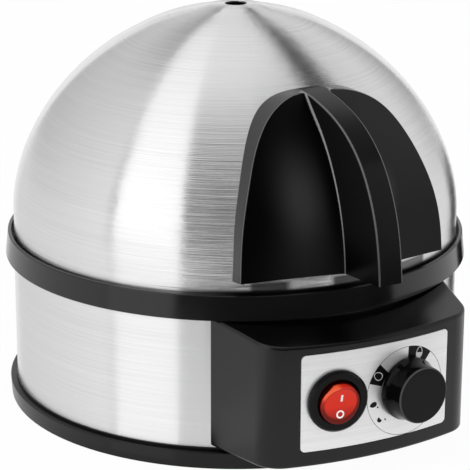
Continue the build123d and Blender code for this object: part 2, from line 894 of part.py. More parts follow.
def blade_row(frame, places, end):
    """Flat connection blades that stand behind a switch or regulator."""
    half = blade_width / 2
    row = []
    for y in places:
        low_y = y - blade_thickness / 2
        blade = block(-half, half, low_y, low_y + blade_thickness, end - blade_length, end)
        row.append(frame * blade)
    return row


save("switch_terminals", blade_row(switch_frame, (-6.0, 0.0, 6.0), barrel_end))

rocker_face = bezel_front + rocker_proud
rocker = rod(rocker_radius, pin_z - rocker_depth + 2.6, rocker_face + 2)
hollow = Pos(0, 0, rocker_face + rocker_hollow_radius) * Rot(0, 90, 0) * Cylinder(rocker_hollow_radius, 40)
rocker -= hollow
rocker -= Pos(0, 0, pin_z) * Rot(0, 90, 0) * Cylinder(rocker_pin_radius + running_gap, 40)
rocker_edges = [e for e in rocker.edges() if e.center().Z > rocker_face - 0.5]
rocker = fillet(rocker_edges, 0.5)
tilted = Pos(0, 0, pin_z) * Rot(rocker_tilt, 0, 0) * Pos(0, 0, -pin_z) * rocker
save("rocker", switch_frame * tilted)

# Regulator, nut, shaft and knob
regulator_front = bow_radius - box_wall - 0.8
regulator_back = regulator_front - regulator_depth
regulator = block(
    -regulator_width / 2,
    regulator_width / 2,
    -regulator_height / 2,
    regulator_height / 2,
    regulator_back,
    regulator_front,
)
regulator = fillet(regulator.edges().filter_by(Axis.Z), 2.0)
nut_low = plate_outer + 0.1
bush_top = nut_low + nut_thickness + 0.4
regulator += rod(bush_radius, regulator_front, bush_top)
knob_back = plate_outer + knob_clear
knob_front = knob_back + knob_height
socket_end = knob_front - 2.0
shaft_low = regulator_back + 3.0
regulator -= rod(shaft_radius + running_gap, shaft_low - 0.3, bush_top + 1)
save("regulator_body", knob_frame * regulator)
save("regulator_terminals", blade_row(knob_frame, (-8.0, 0.0, 8.0), regulator_back))
nut = extrude(Pos(0, 0, nut_low) * RegularPolygon(nut_flats / 2, 6, major_radius=False), nut_thickness)
nut -= rod(bush_radius + pin_gap, nut_low - 1, nut_low + nut_thickness + 1)
save("regulator_nut", knob_frame * nut)
shaft = rod(shaft_radius, shaft_low, socket_end)
flat = shaft_radius - shaft_flat
shaft -= block(flat, shaft_radius + 1, -cut_past, cut_past, bush_top + 1, socket_end + 1)
save("knob_shaft", knob_frame * shaft)

waist_z = knob_back + knob_height * 0.5
knob_side = Spline(
    (knob_skirt_radius, knob_back + knob_skirt_height),
    (knob_waist_radius + 0.35, knob_back + knob_height * 0.32),
    (knob_waist_radius, waist_z),
    (knob_face_radius, knob_front),
)
knob_rest = Polyline(
    (knob_face_radius, knob_front),
    (0, knob_front),
    (0, knob_back),
    (knob_skirt_radius, knob_back),
    (knob_skirt_radius, knob_back + knob_skirt_height),
)
knob = revolve(Plane.XZ * make_face(Curve() + [knob_side, knob_rest]), Axis.Z)
knob = fillet(circles_at(knob, knob_front), knob_round)
knob -= rod(knob_hollow_radius, knob_back - 1, knob_back + knob_hollow_depth)
socket = rod(shaft_radius + pin_gap, knob_back, socket_end + 0.3)
socket -= block(flat + pin_gap, shaft_radius + 1, -cut_past, cut_past, bush_top + 1, socket_end + 1)
knob -= socket
save("knob", knob_frame * knob)

# Cord inlet grommet
flange_low = jacket_radius + 0.1
grommet = rod(inlet_flange, flange_low, flange_low + inlet_flange_thickness)
grommet = chamfer(grommet.edges().filter_by(GeomType.CIRCLE).sort_by(Axis.Z)[-1], 0.6)
grommet += rod(inlet_neck, jacket_radius - inlet_inner_length, flange_low)
grommet -= rod(inlet_bore, 0, 2 * jacket_radius)
save("cord_inlet", inlet_axis * grommet)

# Egg tray
tray_foot = pan_flange_top
tray = spin(
    (
        (0, tray_top - tray_thickness),
        (tray_radius - tray_skirt, tray_top - tray_thickness),
        (tray_radius - tray_skirt, tray_foot),
        (tray_radius, tray_foot),
        (tray_radius, tray_top),
        (0, tray_top),
    )
)
tray = fillet(circles_at(tray, tray_top), tray_round)
well_low = tray_top - well_depth
on_base = (Align.CENTER, Align.CENTER, Align.MIN)
well_shell = Cone(well_bottom + well_wall, well_mouth + well_wall, well_depth, align=on_base)
well_void = Cone(well_bottom, well_mouth, well_depth, align=on_base)
well_places = [(0.0, 0.0)]
for i in range(well_count):
    turn = math.radians(well_turn + 360.0 * i / well_count)
    well_places.append((well_circle * math.cos(turn), well_circle * math.sin(turn)))
for x, y in well_places:
    tray += Pos(x, y, well_low) * well_shell
for x, y in well_places:
    tray -= Pos(x, y, well_low) * well_void
drain = rod(drain_radius_inner, 0, tray_top + 1, drain_circle_inner)
for cutter in ring_of(drain, well_count):
    tray -= cutter
drain = rod(drain_radius_outer, 0, tray_top + 1, drain_circle_outer)
for cutter in ring_of(drain, well_count):
    tray -= cutter
for side in (-1, 1):
    low_x = side * grip_circle - grip_thickness / 2
    high_x = low_x + grip_thickness
    grip = block(low_x, high_x, -grip_width / 2, grip_width / 2, tray_top - 1, tray_top + grip_height)
    grip = fillet(grip.edges().filter_by(Axis.X).sort_by(Axis.Z)[-2:], grip_round)
    tray += grip
save("egg_tray", tray)
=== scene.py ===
"""Finishes, marks and studio for the electric egg cooker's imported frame."""

import math

import bmesh
import bpy
from mathutils import Matrix, Vector


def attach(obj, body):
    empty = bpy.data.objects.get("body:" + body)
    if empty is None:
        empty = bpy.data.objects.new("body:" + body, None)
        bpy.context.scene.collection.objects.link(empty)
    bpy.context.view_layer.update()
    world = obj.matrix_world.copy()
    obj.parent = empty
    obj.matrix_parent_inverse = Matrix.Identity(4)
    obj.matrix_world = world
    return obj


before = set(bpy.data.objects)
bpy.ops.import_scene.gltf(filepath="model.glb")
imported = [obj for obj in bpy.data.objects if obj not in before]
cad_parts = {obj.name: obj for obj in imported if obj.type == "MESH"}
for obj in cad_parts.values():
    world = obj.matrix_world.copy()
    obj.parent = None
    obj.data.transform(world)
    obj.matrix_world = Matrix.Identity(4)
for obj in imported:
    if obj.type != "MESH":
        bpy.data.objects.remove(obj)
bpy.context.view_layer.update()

bl_info = {
    "name": "Egg cooker finishes",
    "version": (1, 0, 0),
    "blender": (4, 5, 0),
    "location": "3D View > Sidebar > Egg cooker",
    "description": "Finishes, printed marks and a small studio for the egg cooker",
    "category": "Object",
}

# Places that the pieces share with the solids, in metres and degrees
BOW_CENTRE = 0.0395
PLATE_FACE = 0.1502
PRINT_LIFT = 0.00003
SWITCH_ANGLE = -6.75
SWITCH_HEIGHT = 0.0334
ROCKER_TILT = 8.0
ROCKER_PIN = 0.14925
ROCKER_FACE = 0.15345
ROCKER_HOLLOW = 0.028
KNOB_ANGLE = 4.5
KNOB_HEIGHT = 0.0333
KNOB_BACK = 0.1512
KNOB_LENGTH = 0.0097
DIAL_HEIGHT = 0.0319
DOME_CENTRE = 0.0765
DOME_RADIUS = 0.089
JACKET_RADIUS = 0.0892
FIN_HALF = 0.005
# Centre and size of the painted sheen in the handle's finger rests
REST_ACROSS = 0.0184
REST_HEIGHT = 0.1025
REST_WIDTH = 0.0056
REST_LENGTH = 0.0102

# Side of the knob: its radius and the distance in front of its back, from skirt to face
KNOB_FLARE = ((0.01203, 0.0006), (0.01203, 0.0016), (0.01148, 0.0031), (0.01113, 0.00485))

# Depth of the brushed lines in metres, and how far their colour strays from the steel's
DOME_BRUSH_DEPTH = 0.000450
JACKET_BRUSH_DEPTH = 0.000010
STEEL_CONTRAST = 0.07

# Ranges in metres over which the dome's coarser brushing beside the handle fades
COARSE_LEFT = (-0.070, -0.052)
COARSE_RIGHT = (-0.020, -0.005)
COARSE_TOP = (0.112, 0.132)
FRONT_SIDE = (-0.03, 0.0)

# Ranges in metres over which the painted shade and the painted highlight at the dome's foot fade
SHADE_STRIP_TOP = (0.0722, 0.0734)
SHADE_STRIP_LEFT = (-0.0385, -0.0365)
SHADE_STRIP_RIGHT = (0.0365, 0.0385)
HIGHLIGHT_LEFT = (-0.0260, -0.0215)
HIGHLIGHT_RIGHT = (-0.0095, -0.0060)
GAP_SHADE_TOP = (0.0690, 0.0703)
GAP_SHADE_BACK = (-0.082, -0.060)

# Ranges in metres over which the handle's painted sheen and painted edge highlights fade
FIN_SIDE = (FIN_HALF + 0.00002, FIN_HALF + 0.00008)
REST_ROOT = (0.0052, 0.0115)
REST_FOOT = (0.078, 0.100)
FAR_SIDE = (0.004, 0.007)
FAR_SIDE_HEIGHT = (0.085, 0.125)
FLANK_HEIGHT = (0.078, 0.096)
ROOT_END = (0.0066, 0.0072)
EDGE_HEIGHT = (0.076, 0.108)

# Ranges of the part of a face's direction that points sideways, forward, up or along the knob; they place the
# painted sheen, the coat and the painted edge highlights
FIN_FRONT_TURN = (0.60, 0.85)
RIM_TURN = (0.25, 0.55)
INNER_EDGE_TURN = (0.05, 0.68)
FIN_EDGE_TURN = (0.12, 0.97)
UNDERSIDE_TURN = (-0.45, -0.15)
KNOB_RIM_TURN = (0.10, 0.95)

# Widths of the ramps at the two ends of such a range
TURN_IN = 0.20
TURN_OUT = 0.12

# The rocker's painted shade and light: depth under its face, and distances from its middle, in metres
ROCKER_SHALLOW = (0.0018, 0.0030)
ROCKER_BORDER = (0.0064, 0.0068)
ROCKER_GROOVE = (0.0060, 0.0064)
ROCKER_LIT = (-0.0058, -0.0004)

# Directions across and up from which the rocker's edge gets its painted light and painted glow, and parts of a
# direction
AMBER_WAY = (-0.64, 0.77)
LIGHT_WAY = (-0.42, 0.91)
AMBER_TURN = (0.76, 0.96)
ROCKER_LEFT_TURN = (0.30, 1.0)

# Ranges in metres from the knob's face, below zero behind it
KNOB_FACE_START = (-0.00035, -0.00005)
KNOB_RIM_START = (-0.0016, -0.0010)

# Sockets of Blender's Mix node for colours
MIX_FIRST = 6
MIX_SECOND = 7
MIX_RESULT = 2

# Camera's sensor in millimetres, the level part of its view, and its downward angle in degrees
LENS_SENSOR = 36.0
VIEW_LEVEL = 0.94
VIEW_DROP = 17.6

# Places of the mirrored panels, and the height that the lamps aim at, in metres
PANEL_CENTRE = 0.08
PANEL_FLOOR_GAP = 0.01
FLOOR_PANEL_GAP = 0.006
FLOOR_PANEL_REACH = 0.9
LAMP_AIM = 0.07

# Arched panels: name, bearings, angles, strengths at the low and the high end, distance, curve, lean
ARCH_PANELS = (
    ("panel_left", (-84.0, -34.2), (0.0, 150.0), ((0.54, 1.18), (0.78, 0.68)), 1.64, 1.0, 0.0),
    ("panel_dip", (-66.0, -34.6), (84.0, 150.0), ((0.78, 0.84), (0.74, 0.22)), 1.60, 0.5, 0.0),
    ("panel_right", (33.0, 62.0), (0.0, 150.0), ((0.80, 1.00), (0.78, 0.90)), 1.64, 1.0, 0.0),
    ("panel_side", (62.0, 88.0), (0.0, 150.0), ((1.00, 0.28), (0.90, 0.80)), 1.66, 1.0, 0.0),
    ("panel_dim", (-13.5, 8.0), (-10.0, 86.0), ((0.12, 0.06), (1.16, 1.10)), 1.66, 2.0, 0.0),
    ("panel_top", (-13.5, 18.0), (86.0, 150.0), ((1.24, 1.15), (1.04, 1.0)), 1.66, 1.0, 0.0),
    ("panel_shade", (8.0, 31.0), (-12.0, 74.0), ((0.06, 0.10), (0.45, 0.45)), 1.66, 1.0, 0.0),
    ("panel_line_left", (-34.0, -32.4), (0.0, 60.0), ((0.75, 0.75), (0.8, 0.8)), 1.62, 1.0, 0.0),
    ("panel_line_right", (21.5, 34.5), (60.0, 150.0), ((0.03, 0.03), (0.03, 0.03)), 1.58, 1.0, 9.0),
)

# Panels on the floor: name, bearings, strengths, distance beyond the jacket, height
FLOOR_PANELS = (
    ("floor_left", (-84.0, -34.2), (0.84, 1.14), 0.0, 0.0006),
    ("floor_line", (-34.0, -32.6), (1.0, 1.1), 0.0, 0.0006),
    ("floor_bright", (-32.0, -14.5), (1.36, 1.34), 0.0, 0.0006),
    ("floor_dim", (-14.0, 6.0), (1.00, 1.00), 0.0, 0.0006),
    ("floor_far", (-7.0, 42.0), (0.12, 0.04), 0.19, 0.0010),
    ("floor_side", (77.5, 89.5), (0.0, 0.0), 0.0, 0.0006),
)


# Sizes and colours that a user would change
class CookerFinishes(bpy.types.PropertyGroup):
    """Colours and surface detail of the cooker's finishes."""

    steel: bpy.props.FloatVectorProperty(
        name="Steel", description="Colour of the dome and jacket", subtype="COLOR", default=(0.66, 0.66, 0.662)
    )
    plate: bpy.props.FloatVectorProperty(
        name="Plate", description="Colour of the control plate", subtype="COLOR", default=(0.93, 0.93, 0.935)
    )
    gloss_black: bpy.props.FloatVectorProperty(
        name="Gloss black",
        description="Colour of the shiny mouldings",
        subtype="COLOR",
        default=(0.003, 0.003, 0.0032),
    )
    satin_black: bpy.props.FloatVectorProperty(
        name="Satin black",
        description="Colour of the dull mouldings",
        subtype="COLOR",
        default=(0.0052, 0.0052, 0.0054),
    )
    handle_black: bpy.props.FloatVectorProperty(
        name="Handle black",
        description="Colour of the handle's faces",
        subtype="COLOR",
        default=(0.0012, 0.0012, 0.0013),
    )
    # Painted sheen: colour that stands for light mirrored in the handle's finger rests
    rest_painted_sheen: bpy.props.FloatVectorProperty(
        name="Finger rest",
        description="Colour in the handle's finger rests",
        subtype="COLOR",
        default=(0.040, 0.040, 0.041),
    )
    # Painted highlight: colour that stands for light caught on the rounded edges of the handle and the knob
    painted_edge_highlight: bpy.props.FloatVectorProperty(
        name="Light edge",
        description="Colour along the edges of the handle and the knob",
        subtype="COLOR",
        default=(0.33, 0.33, 0.335),
    )
    red: bpy.props.FloatVectorProperty(
        name="Rocker red", description="Colour of the rocker", subtype="COLOR", default=(0.76, 0.030, 0.012)
    )
    # Painted glow: colour that stands for light passing through the rocker's clear edge
    painted_amber_glow: bpy.props.FloatVectorProperty(
        name="Rocker glow",
        description="Colour where light passes the rocker's edge",
        subtype="COLOR",
        default=(0.95, 0.13, 0.050),
    )
    print_black: bpy.props.FloatVectorProperty(
        name="Dark print",
        description="Colour of the dial's dark marks",
        subtype="COLOR",
        default=(0.004, 0.004, 0.004),
    )
    print_white: bpy.props.FloatVectorProperty(
        name="White print", description="Colour of the white marks", subtype="COLOR", default=(0.86, 0.86, 0.85)
    )
    brush_width: bpy.props.FloatProperty(
        name="Brush line", description="Width of one brushed line", unit="LENGTH", default=0.00042
    )
    brush_length: bpy.props.FloatProperty(
        name="Brush stroke", description="Length of one brushed line", unit="LENGTH", default=0.070
    )
    grain: bpy.props.FloatProperty(
        name="Moulded grain", description="Size of the grain on the dull mouldings", unit="LENGTH", default=0.0004
    )


class CookerMarks(bpy.types.PropertyGroup):
    """Sizes of the marks on the rocker, the dial and the knob."""

    dial_radius: bpy.props.FloatProperty(
        name="Dial circle", description="Radius of the dial's thin circle", unit="LENGTH", default=0.0173
    )
    dial_line: bpy.props.FloatProperty(
        name="Dial line", description="Width of the dial's thin circle", unit="LENGTH", default=0.00016
    )
    field_inner: bpy.props.FloatProperty(
        name="Field inner radius", description="Inner radius of the dark fields", unit="LENGTH", default=0.0116
    )
    off_field: bpy.props.FloatVectorProperty(
        name="Off field",
        description="Start and end of the off field, clockwise from the top, in degrees",
        size=2,
        default=(-70.8, -43.4),
    )
    egg_field: bpy.props.FloatVectorProperty(
        name="Egg field",
        description="Start and end of the egg field, clockwise from the top, in degrees",
        size=2,
        default=(2.4, 40.9),
    )
    on_bar: bpy.props.FloatVectorProperty(
        name="On bar",
        description="Width and height of the rocker's I",
        unit="LENGTH",
        size=2,
        default=(0.00076, 0.0028),
    )
    off_ring: bpy.props.FloatVectorProperty(
        name="Off ring",
        description="Outer and inner radius of the rocker's O",
        unit="LENGTH",
        size=2,
        default=(0.00158, 0.00096),
    )
    pointer_width: bpy.props.FloatProperty(
        name="Pointer", description="Width of the knob's pointer line", unit="LENGTH", default=0.0009
    )
    pointer_angle: bpy.props.FloatProperty(
        name="Pointer angle",
        description="Place of the knob's pointer, clockwise from the top, in degrees",
        default=-156.0,
    )


class CookerStudio(bpy.types.PropertyGroup):
    """Camera and light of the studio."""

    distance: bpy.props.FloatProperty(
        name="Camera distance", description="Distance of the camera from the axis", unit="LENGTH", default=0.820
    )
    height: bpy.props.FloatProperty(
        name="Camera height", description="Height of the camera over the table", unit="LENGTH", default=0.3230
    )
    azimuth: bpy.props.FloatProperty(
        name="Camera azimuth",
        description="Turn of the camera about the axis",
        subtype="ANGLE",
        default=math.radians(-28.7),
    )
    pitch: bpy.props.FloatProperty(
        name="Camera pitch", description="How far the camera looks down", subtype="ANGLE", default=0.30709
    )
    roll: bpy.props.FloatProperty(
        name="Camera roll", description="Turn of the camera about its view", subtype="ANGLE", default=0.00325
    )
    focal: bpy.props.FloatProperty(
        name="Focal length", description="Focal length in millimetres on a 36 mm sensor", default=162.49
    )
    sky: bpy.props.FloatProperty(
        name="Room light", description="Strength of the white room on the object", default=0.62
    )
    key: bpy.props.FloatProperty(
        name="Key light", description="Power of the large soft lamp, in watts", default=3.2
    )
    panel: bpy.props.FloatProperty(
        name="Bright panel", description="Strength of the tall panel that the steel mirrors", default=1.75
    )


# Shader maths
class Shade:
    """A number that changes over a surface. Sums and products of it add Math nodes."""

    def __init__(self, finish, socket):
        self.finish = finish
        self.socket = socket

    def math(self, operation, *values):
        """One Math node on this and other numbers."""
        return self.finish.node("ShaderNodeMath", {"operation": operation}, dict(enumerate(values)))

    def __add__(self, other):
        return self.math("ADD", self, other)

    __radd__ = __add__

    def __sub__(self, other):
        return self.math("SUBTRACT", self, other)

    def __rsub__(self, other):
        return self.math("SUBTRACT", other, self)

    def __mul__(self, other):
        return self.math("MULTIPLY", self, other)

    __rmul__ = __mul__

    def __truediv__(self, other):
        return self.math("DIVIDE", self, other)

    def __pow__(self, other):
        return self.math("POWER", self, other)

    def absolute(self):
        """Size without its sign."""
        return self.math("ABSOLUTE", self)

    def exponent(self):
        """Natural exponent."""
        return self.math("EXPONENT", self)

    def step(self, low, high):
        """Smooth step from 0 at low to 1 at high."""
        settings = {"interpolation_type": "SMOOTHSTEP"}
        inputs = {"Value": self, "From Min": low, "From Max": high, "To Min": 0.0, "To Max": 1.0}
        return self.finish.node("ShaderNodeMapRange", settings, inputs)

    def fade(self, low, high):
        """Smooth step from 1 at low to 0 at high."""
        return 1.0 - self.step(low, high)


class Finish:
    """One material and the nodes that make it."""

    def __init__(self, name):
        self.material = bpy.data.materials.new(name)
        self.material.use_nodes = True
        self.tree = self.material.node_tree
        self.tree.nodes.clear()
        self.place = self.node("ShaderNodeTexCoord", output="Object")
        self.x, self.y, self.z = self.split(self.place)

    def node(self, kind, settings=None, inputs=None, output=0):
        """Adds a node, sets it up, feeds its sockets and gives one of its outputs."""
        made = self.tree.nodes.new(kind)
        for key, value in (settings or {}).items():
            setattr(made, key, value)
        for key, value in (inputs or {}).items():
            if isinstance(value, Shade):
                self.tree.links.new(value.socket, made.inputs[key])
            else:
                made.inputs[key].default_value = value
        return Shade(self, made.outputs[output])

    def split(self, vector):
        """Three numbers of a vector."""
        made = self.tree.nodes.new("ShaderNodeSeparateXYZ")
        self.tree.links.new(vector.socket, made.inputs[0])
        return [Shade(self, socket) for socket in made.outputs]

    def vector(self, x, y, z):
        """Vector from three numbers."""
        return self.node("ShaderNodeCombineXYZ", inputs={0: x, 1: y, 2: z})

    def noise(self, place, scale, detail=2.0, roughness=0.5):
        """Noise from 0 to 1."""
        inputs = {"Vector": place, "Scale": scale, "Detail": detail, "Roughness": roughness}
        return self.node("ShaderNodeTexNoise", inputs=inputs)

    def blend(self, factor, first, second):
        """Mix of two colours."""
        inputs = {0: factor, MIX_FIRST: as_colour(first), MIX_SECOND: as_colour(second)}
        return self.node("ShaderNodeMix", {"data_type": "RGBA"}, inputs, output=MIX_RESULT)

    def bump(self, height, distance):
        """Normal bent by a height map whose full range is a distance in metres."""
        return self.node("ShaderNodeBump", inputs={"Strength": 1.0, "Distance": distance, "Height": height})

    def surface(self, **values):
        """Ends the material in the standard surface shader; underscores stand for spaces."""
        inputs = {key.replace("_", " "): as_colour(value) for key, value in values.items()}
        shader = self.node("ShaderNodeBsdfPrincipled", inputs=inputs)
        self.node_to_output(shader)
        return self.material

    def node_to_output(self, shader):
        """Links a shader to the material's output."""
        end = self.tree.nodes.new("ShaderNodeOutputMaterial")
        self.tree.links.new(shader.socket, end.inputs["Surface"])


def as_colour(value):
    """Colour with its alpha where a plain red, green and blue is given."""
    if hasattr(value, "__len__") and len(value) == 3:
        return (*value, 1.0)
    return value


def scaled(colour, factor):
    """Colour made lighter or darker by a factor."""
    return tuple(min(1.0, channel * factor) for channel in colour)


# Finishes
def brushed(finish, along, settings):
    """Brushed lines that run round the axis and repeat along another measure."""
    across_rate = 1.0 / settings.brush_width
    stroke_rate = 1.0 / settings.brush_length
    fine_place = finish.vector(finish.x * stroke_rate, finish.y * stroke_rate, along * across_rate)
    fine = finish.noise(fine_place, 1.0, 2.0, 0.65)
    broad_stroke = stroke_rate * 0.35
    broad_across = across_rate * 0.22
    apart = 7.0
    broad_place = finish.vector(finish.x * broad_stroke, finish.y * broad_stroke, along * broad_across + apart)
    broad = finish.noise(broad_place, 1.0, 2.0, 0.6)
    return fine, broad


def steel_finish(name, along_dome, settings):
    """Round-brushed stainless sheet of the dome or the jacket; on the dome's foot, painted shade under the handle
    with a painted highlight in part of it, and painted shade along the front lower edge.
    """
    finish = Finish(name)
    if along_dome:
        radius = (finish.x * finish.x + finish.y * finish.y) ** 0.5
        along = radius.math("ARCTAN2", radius, finish.z - DOME_CENTRE) * DOME_RADIUS
        beside_handle = finish.x.step(*COARSE_LEFT) * finish.x.fade(*COARSE_RIGHT)
        beside_handle = beside_handle * finish.z.fade(*COARSE_TOP) * finish.y.fade(*FRONT_SIDE)
        coarse = 0.2 + 0.8 * beside_handle
        depth = DOME_BRUSH_DEPTH
    else:
        along = finish.z
        coarse = 1.0
        depth = JACKET_BRUSH_DEPTH
    fine, broad = brushed(finish, along, settings)
    streak = fine * 0.7 + broad * 0.3
    grit = finish.noise(finish.place, 2400.0, 2.0, 0.6)
    mottle = finish.noise(finish.place, 24.0, 3.0, 0.55)
    shade = (streak - 0.5) * 2.2 + (grit - 0.5) * 0.6 + 0.5
    darker = scaled(settings.steel, 1.0 - STEEL_CONTRAST)
    lighter = scaled(settings.steel, 1.0 + STEEL_CONTRAST)
    colour = finish.blend(shade, darker, lighter)
    if along_dome:
        # Painted shade: the steel is darker in a strip under the handle, with a painted highlight in part of that
        # strip
        strip = finish.z.fade(*SHADE_STRIP_TOP) * finish.y.fade(*FRONT_SIDE)
        strip = strip * finish.x.step(*SHADE_STRIP_LEFT) * finish.x.fade(*SHADE_STRIP_RIGHT)
        light = finish.x.step(*HIGHLIGHT_LEFT) * finish.x.fade(*HIGHLIGHT_RIGHT)
        colour = finish.blend(strip * (1.0 - light), colour, scaled(settings.steel, 0.22))
        colour = finish.blend(strip * light, colour, scaled(settings.steel, 1.45))
        # Painted shade along the dome's front lower edge, standing for the gap to the ring
        gap_shade = finish.z.fade(*GAP_SHADE_TOP) * finish.y.fade(*GAP_SHADE_BACK)
        colour = finish.blend(gap_shade, colour, scaled(settings.steel, 0.05))
    roughness = 0.235 + (streak - 0.5) * 0.16 + (mottle - 0.5) * 0.03
    return finish.surface(
        Base_Color=colour,
        Metallic=1.0,
        Roughness=roughness,
        Anisotropic=0.95,
        Anisotropic_Rotation=0.25,
        Normal=finish.bump(streak * coarse, depth),
    )


def plate_finish(name, settings):
    """Fine straight-brushed control plate."""
    finish = Finish(name)
    fine, broad = brushed(finish, finish.z, settings)
    streak = fine * 0.6 + broad * 0.4
    colour = finish.blend(streak.step(0.25, 0.75), scaled(settings.plate, 0.93), scaled(settings.plate, 1.05))
    return finish.surface(
        Base_Color=colour,
        Metallic=0.55,
        Roughness=0.34 + (streak - 0.5) * 0.12,
        Normal=finish.bump(streak, 0.000004),
    )


def gloss_finish(name, colour, roughness=0.12, ior=1.38):
    """Shiny moulded plastic with a faint ripple and slight handling marks."""
    finish = Finish(name)
    ripple = finish.noise(finish.place, 190.0, 2.0)
    marks = finish.noise(finish.place, 46.0, 4.0, 0.6)
    dust = finish.noise(finish.place, 2600.0, 1.0).step(0.70, 0.82)
    tint = finish.blend(marks.step(0.35, 0.75), colour, scaled(colour, 1.5))
    return finish.surface(
        Base_Color=tint,
        Roughness=roughness + (marks - 0.5) * 0.07 + dust * 0.05,
        IOR=ior,
        Normal=finish.bump(ripple, 0.000012),
    )


def satin_finish(name, colour, settings, roughness=0.40, rate=1.0, ior=1.42):
    """Dull moulded plastic with a fine eroded grain."""
    finish = Finish(name)
    grain = finish.noise(finish.place, rate / settings.grain, 2.0, 0.7)
    patches = finish.noise(finish.place, 30.0, 3.0, 0.6)
    tint = finish.blend(patches.step(0.3, 0.75), scaled(colour, 0.85), scaled(colour, 1.35))
    return finish.surface(
        Base_Color=tint,
        Roughness=roughness + (patches - 0.5) * 0.08 + (grain - 0.5) * 0.06,
        IOR=ior,
        Normal=finish.bump(grain, 0.000010),
    )


def turned(share, low, high):
    """1 where a face is turned part of the way between two directions, as on a rounded edge, else 0."""
    return share.step(low, low + TURN_IN) * share.fade(high - TURN_OUT, high)


def handle_finish(settings):
    """Dull handle with a painted sheen in its finger rests and painted highlights along its edges."""
    finish = Finish("black_handle")
    plain = finish.node("ShaderNodeNewGeometry", output="Normal")
    rightward, backward, upward = finish.split(plain)
    sideways = rightward.absolute()
    forward = backward * -1.0
    across = finish.x.absolute()
    fin = across.fade(*FIN_SIDE)
    fin_front = sideways.fade(*FIN_FRONT_TURN)
    rim = forward.fade(*RIM_TURN)
    scoop = (1.0 - fin) * (1.0 - rim)
    # Painted sheen: a pale colour standing for light mirrored in the finger rests, on the far scoop and on the fin's
    # flanks
    rest_x = (across - REST_ACROSS) / REST_WIDTH
    rest_z = (finish.z - REST_HEIGHT) / REST_LENGTH
    rest_sheen = ((rest_x * rest_x + rest_z * rest_z) * -0.5).exponent() * 1.1 * across.step(*REST_ROOT)
    low = (rest_x * rest_x * -0.2).exponent() * finish.z.fade(*REST_FOOT) * 0.30
    far_side_sheen = finish.x.step(*FAR_SIDE) * (0.55 + 0.35 * finish.z.step(*FAR_SIDE_HEIGHT))
    flank_sheen = fin * (1.0 - fin_front) * finish.z.step(*FLANK_HEIGHT) * 0.18
    painted_sheen = scoop * rest_sheen.math("MAXIMUM", rest_sheen + low, far_side_sheen) + flank_sheen
    polish = fin * (0.12 + 0.38 * fin_front) + (1.0 - fin) * rim
    # Painted highlights along the handle's rounded edges, none on the edges that face down
    root = across.fade(*ROOT_END)
    height = finish.z.step(*EDGE_HEIGHT)
    inner_edge_highlight = turned(forward, *INNER_EDGE_TURN) * (root * (0.40 + 0.60 * height) + (1.0 - root) * 0.33)
    fin_edge_highlight = turned(sideways, *FIN_EDGE_TURN) * (0.24 + 0.20 * height)
    edge = (fin * fin_edge_highlight + (1.0 - fin) * inner_edge_highlight) * upward.step(*UNDERSIDE_TURN)
    grain = finish.noise(finish.place, 1.0 / settings.grain, 2.0, 0.7)
    patches = finish.noise(finish.place, 30.0, 3.0, 0.6)
    body = finish.blend(painted_sheen * (0.9 + 0.2 * patches), settings.handle_black, settings.rest_painted_sheen)
    return finish.surface(
        Base_Color=finish.blend(edge, body, settings.painted_edge_highlight),
        Roughness=0.32 + (patches - 0.5) * 0.08 + (grain - 0.5) * 0.06,
        IOR=1.12,
        Coat_Weight=polish,
        Coat_Roughness=0.27,
        Coat_IOR=1.5,
        Normal=finish.bump(grain, 0.000008),
    )


def rubber_finish(name, colour):
    """Soft rubber with a chalky bloom."""
    finish = Finish(name)
    bloom = finish.noise(finish.place, 240.0, 4.0, 0.65)
    tint = finish.blend(bloom.step(0.35, 0.8), colour, scaled(colour, 1.8))
    return finish.surface(Base_Color=tint, Roughness=0.72 + (bloom - 0.5) * 0.12, Normal=finish.bump(bloom, 0.00003))


def metal_finish(name, colour, roughness, rate, depth):
    """Plated or bare metal with fine marks of rolling or turning."""
    finish = Finish(name)
    marks = finish.noise(finish.place, rate, 4.0, 0.6)
    stains = finish.noise(finish.place, 70.0, 3.0)
    tint = finish.blend(stains.step(0.3, 0.75), scaled(colour, 0.85), scaled(colour, 1.08))
    return finish.surface(
        Base_Color=tint,
        Metallic=1.0,
        Roughness=roughness + (marks - 0.5) * 0.16,
        Normal=finish.bump(marks, depth),
    )


def ceramic_finish(name, colour):
    """Unglazed fired body with specks."""
    finish = Finish(name)
    specks = finish.noise(finish.place, 1800.0, 2.0).step(0.62, 0.74)
    cloud = finish.noise(finish.place, 120.0, 3.0)
    tint = finish.blend(specks * 0.3 + cloud * 0.2, colour, scaled(colour, 0.6))
    return finish.surface(Base_Color=tint, Roughness=0.75 + (cloud - 0.5) * 0.1, Normal=finish.bump(cloud, 0.00003))


def element_finish(name):
    """Heat-darkened sheath of the heating loop, straw to blue by heat."""
    finish = Finish(name)
    heat = finish.noise(finish.place, 55.0, 3.0)
    scale = finish.noise(finish.place, 1500.0, 3.0, 0.7)
    tint = finish.blend(heat.step(0.35, 0.65), (0.10, 0.085, 0.07), (0.05, 0.055, 0.075))
    return finish.surface(
        Base_Color=tint,
        Metallic=0.8,
        Roughness=0.5 + (scale - 0.5) * 0.2,
        Normal=finish.bump(scale, 0.00002),
    )


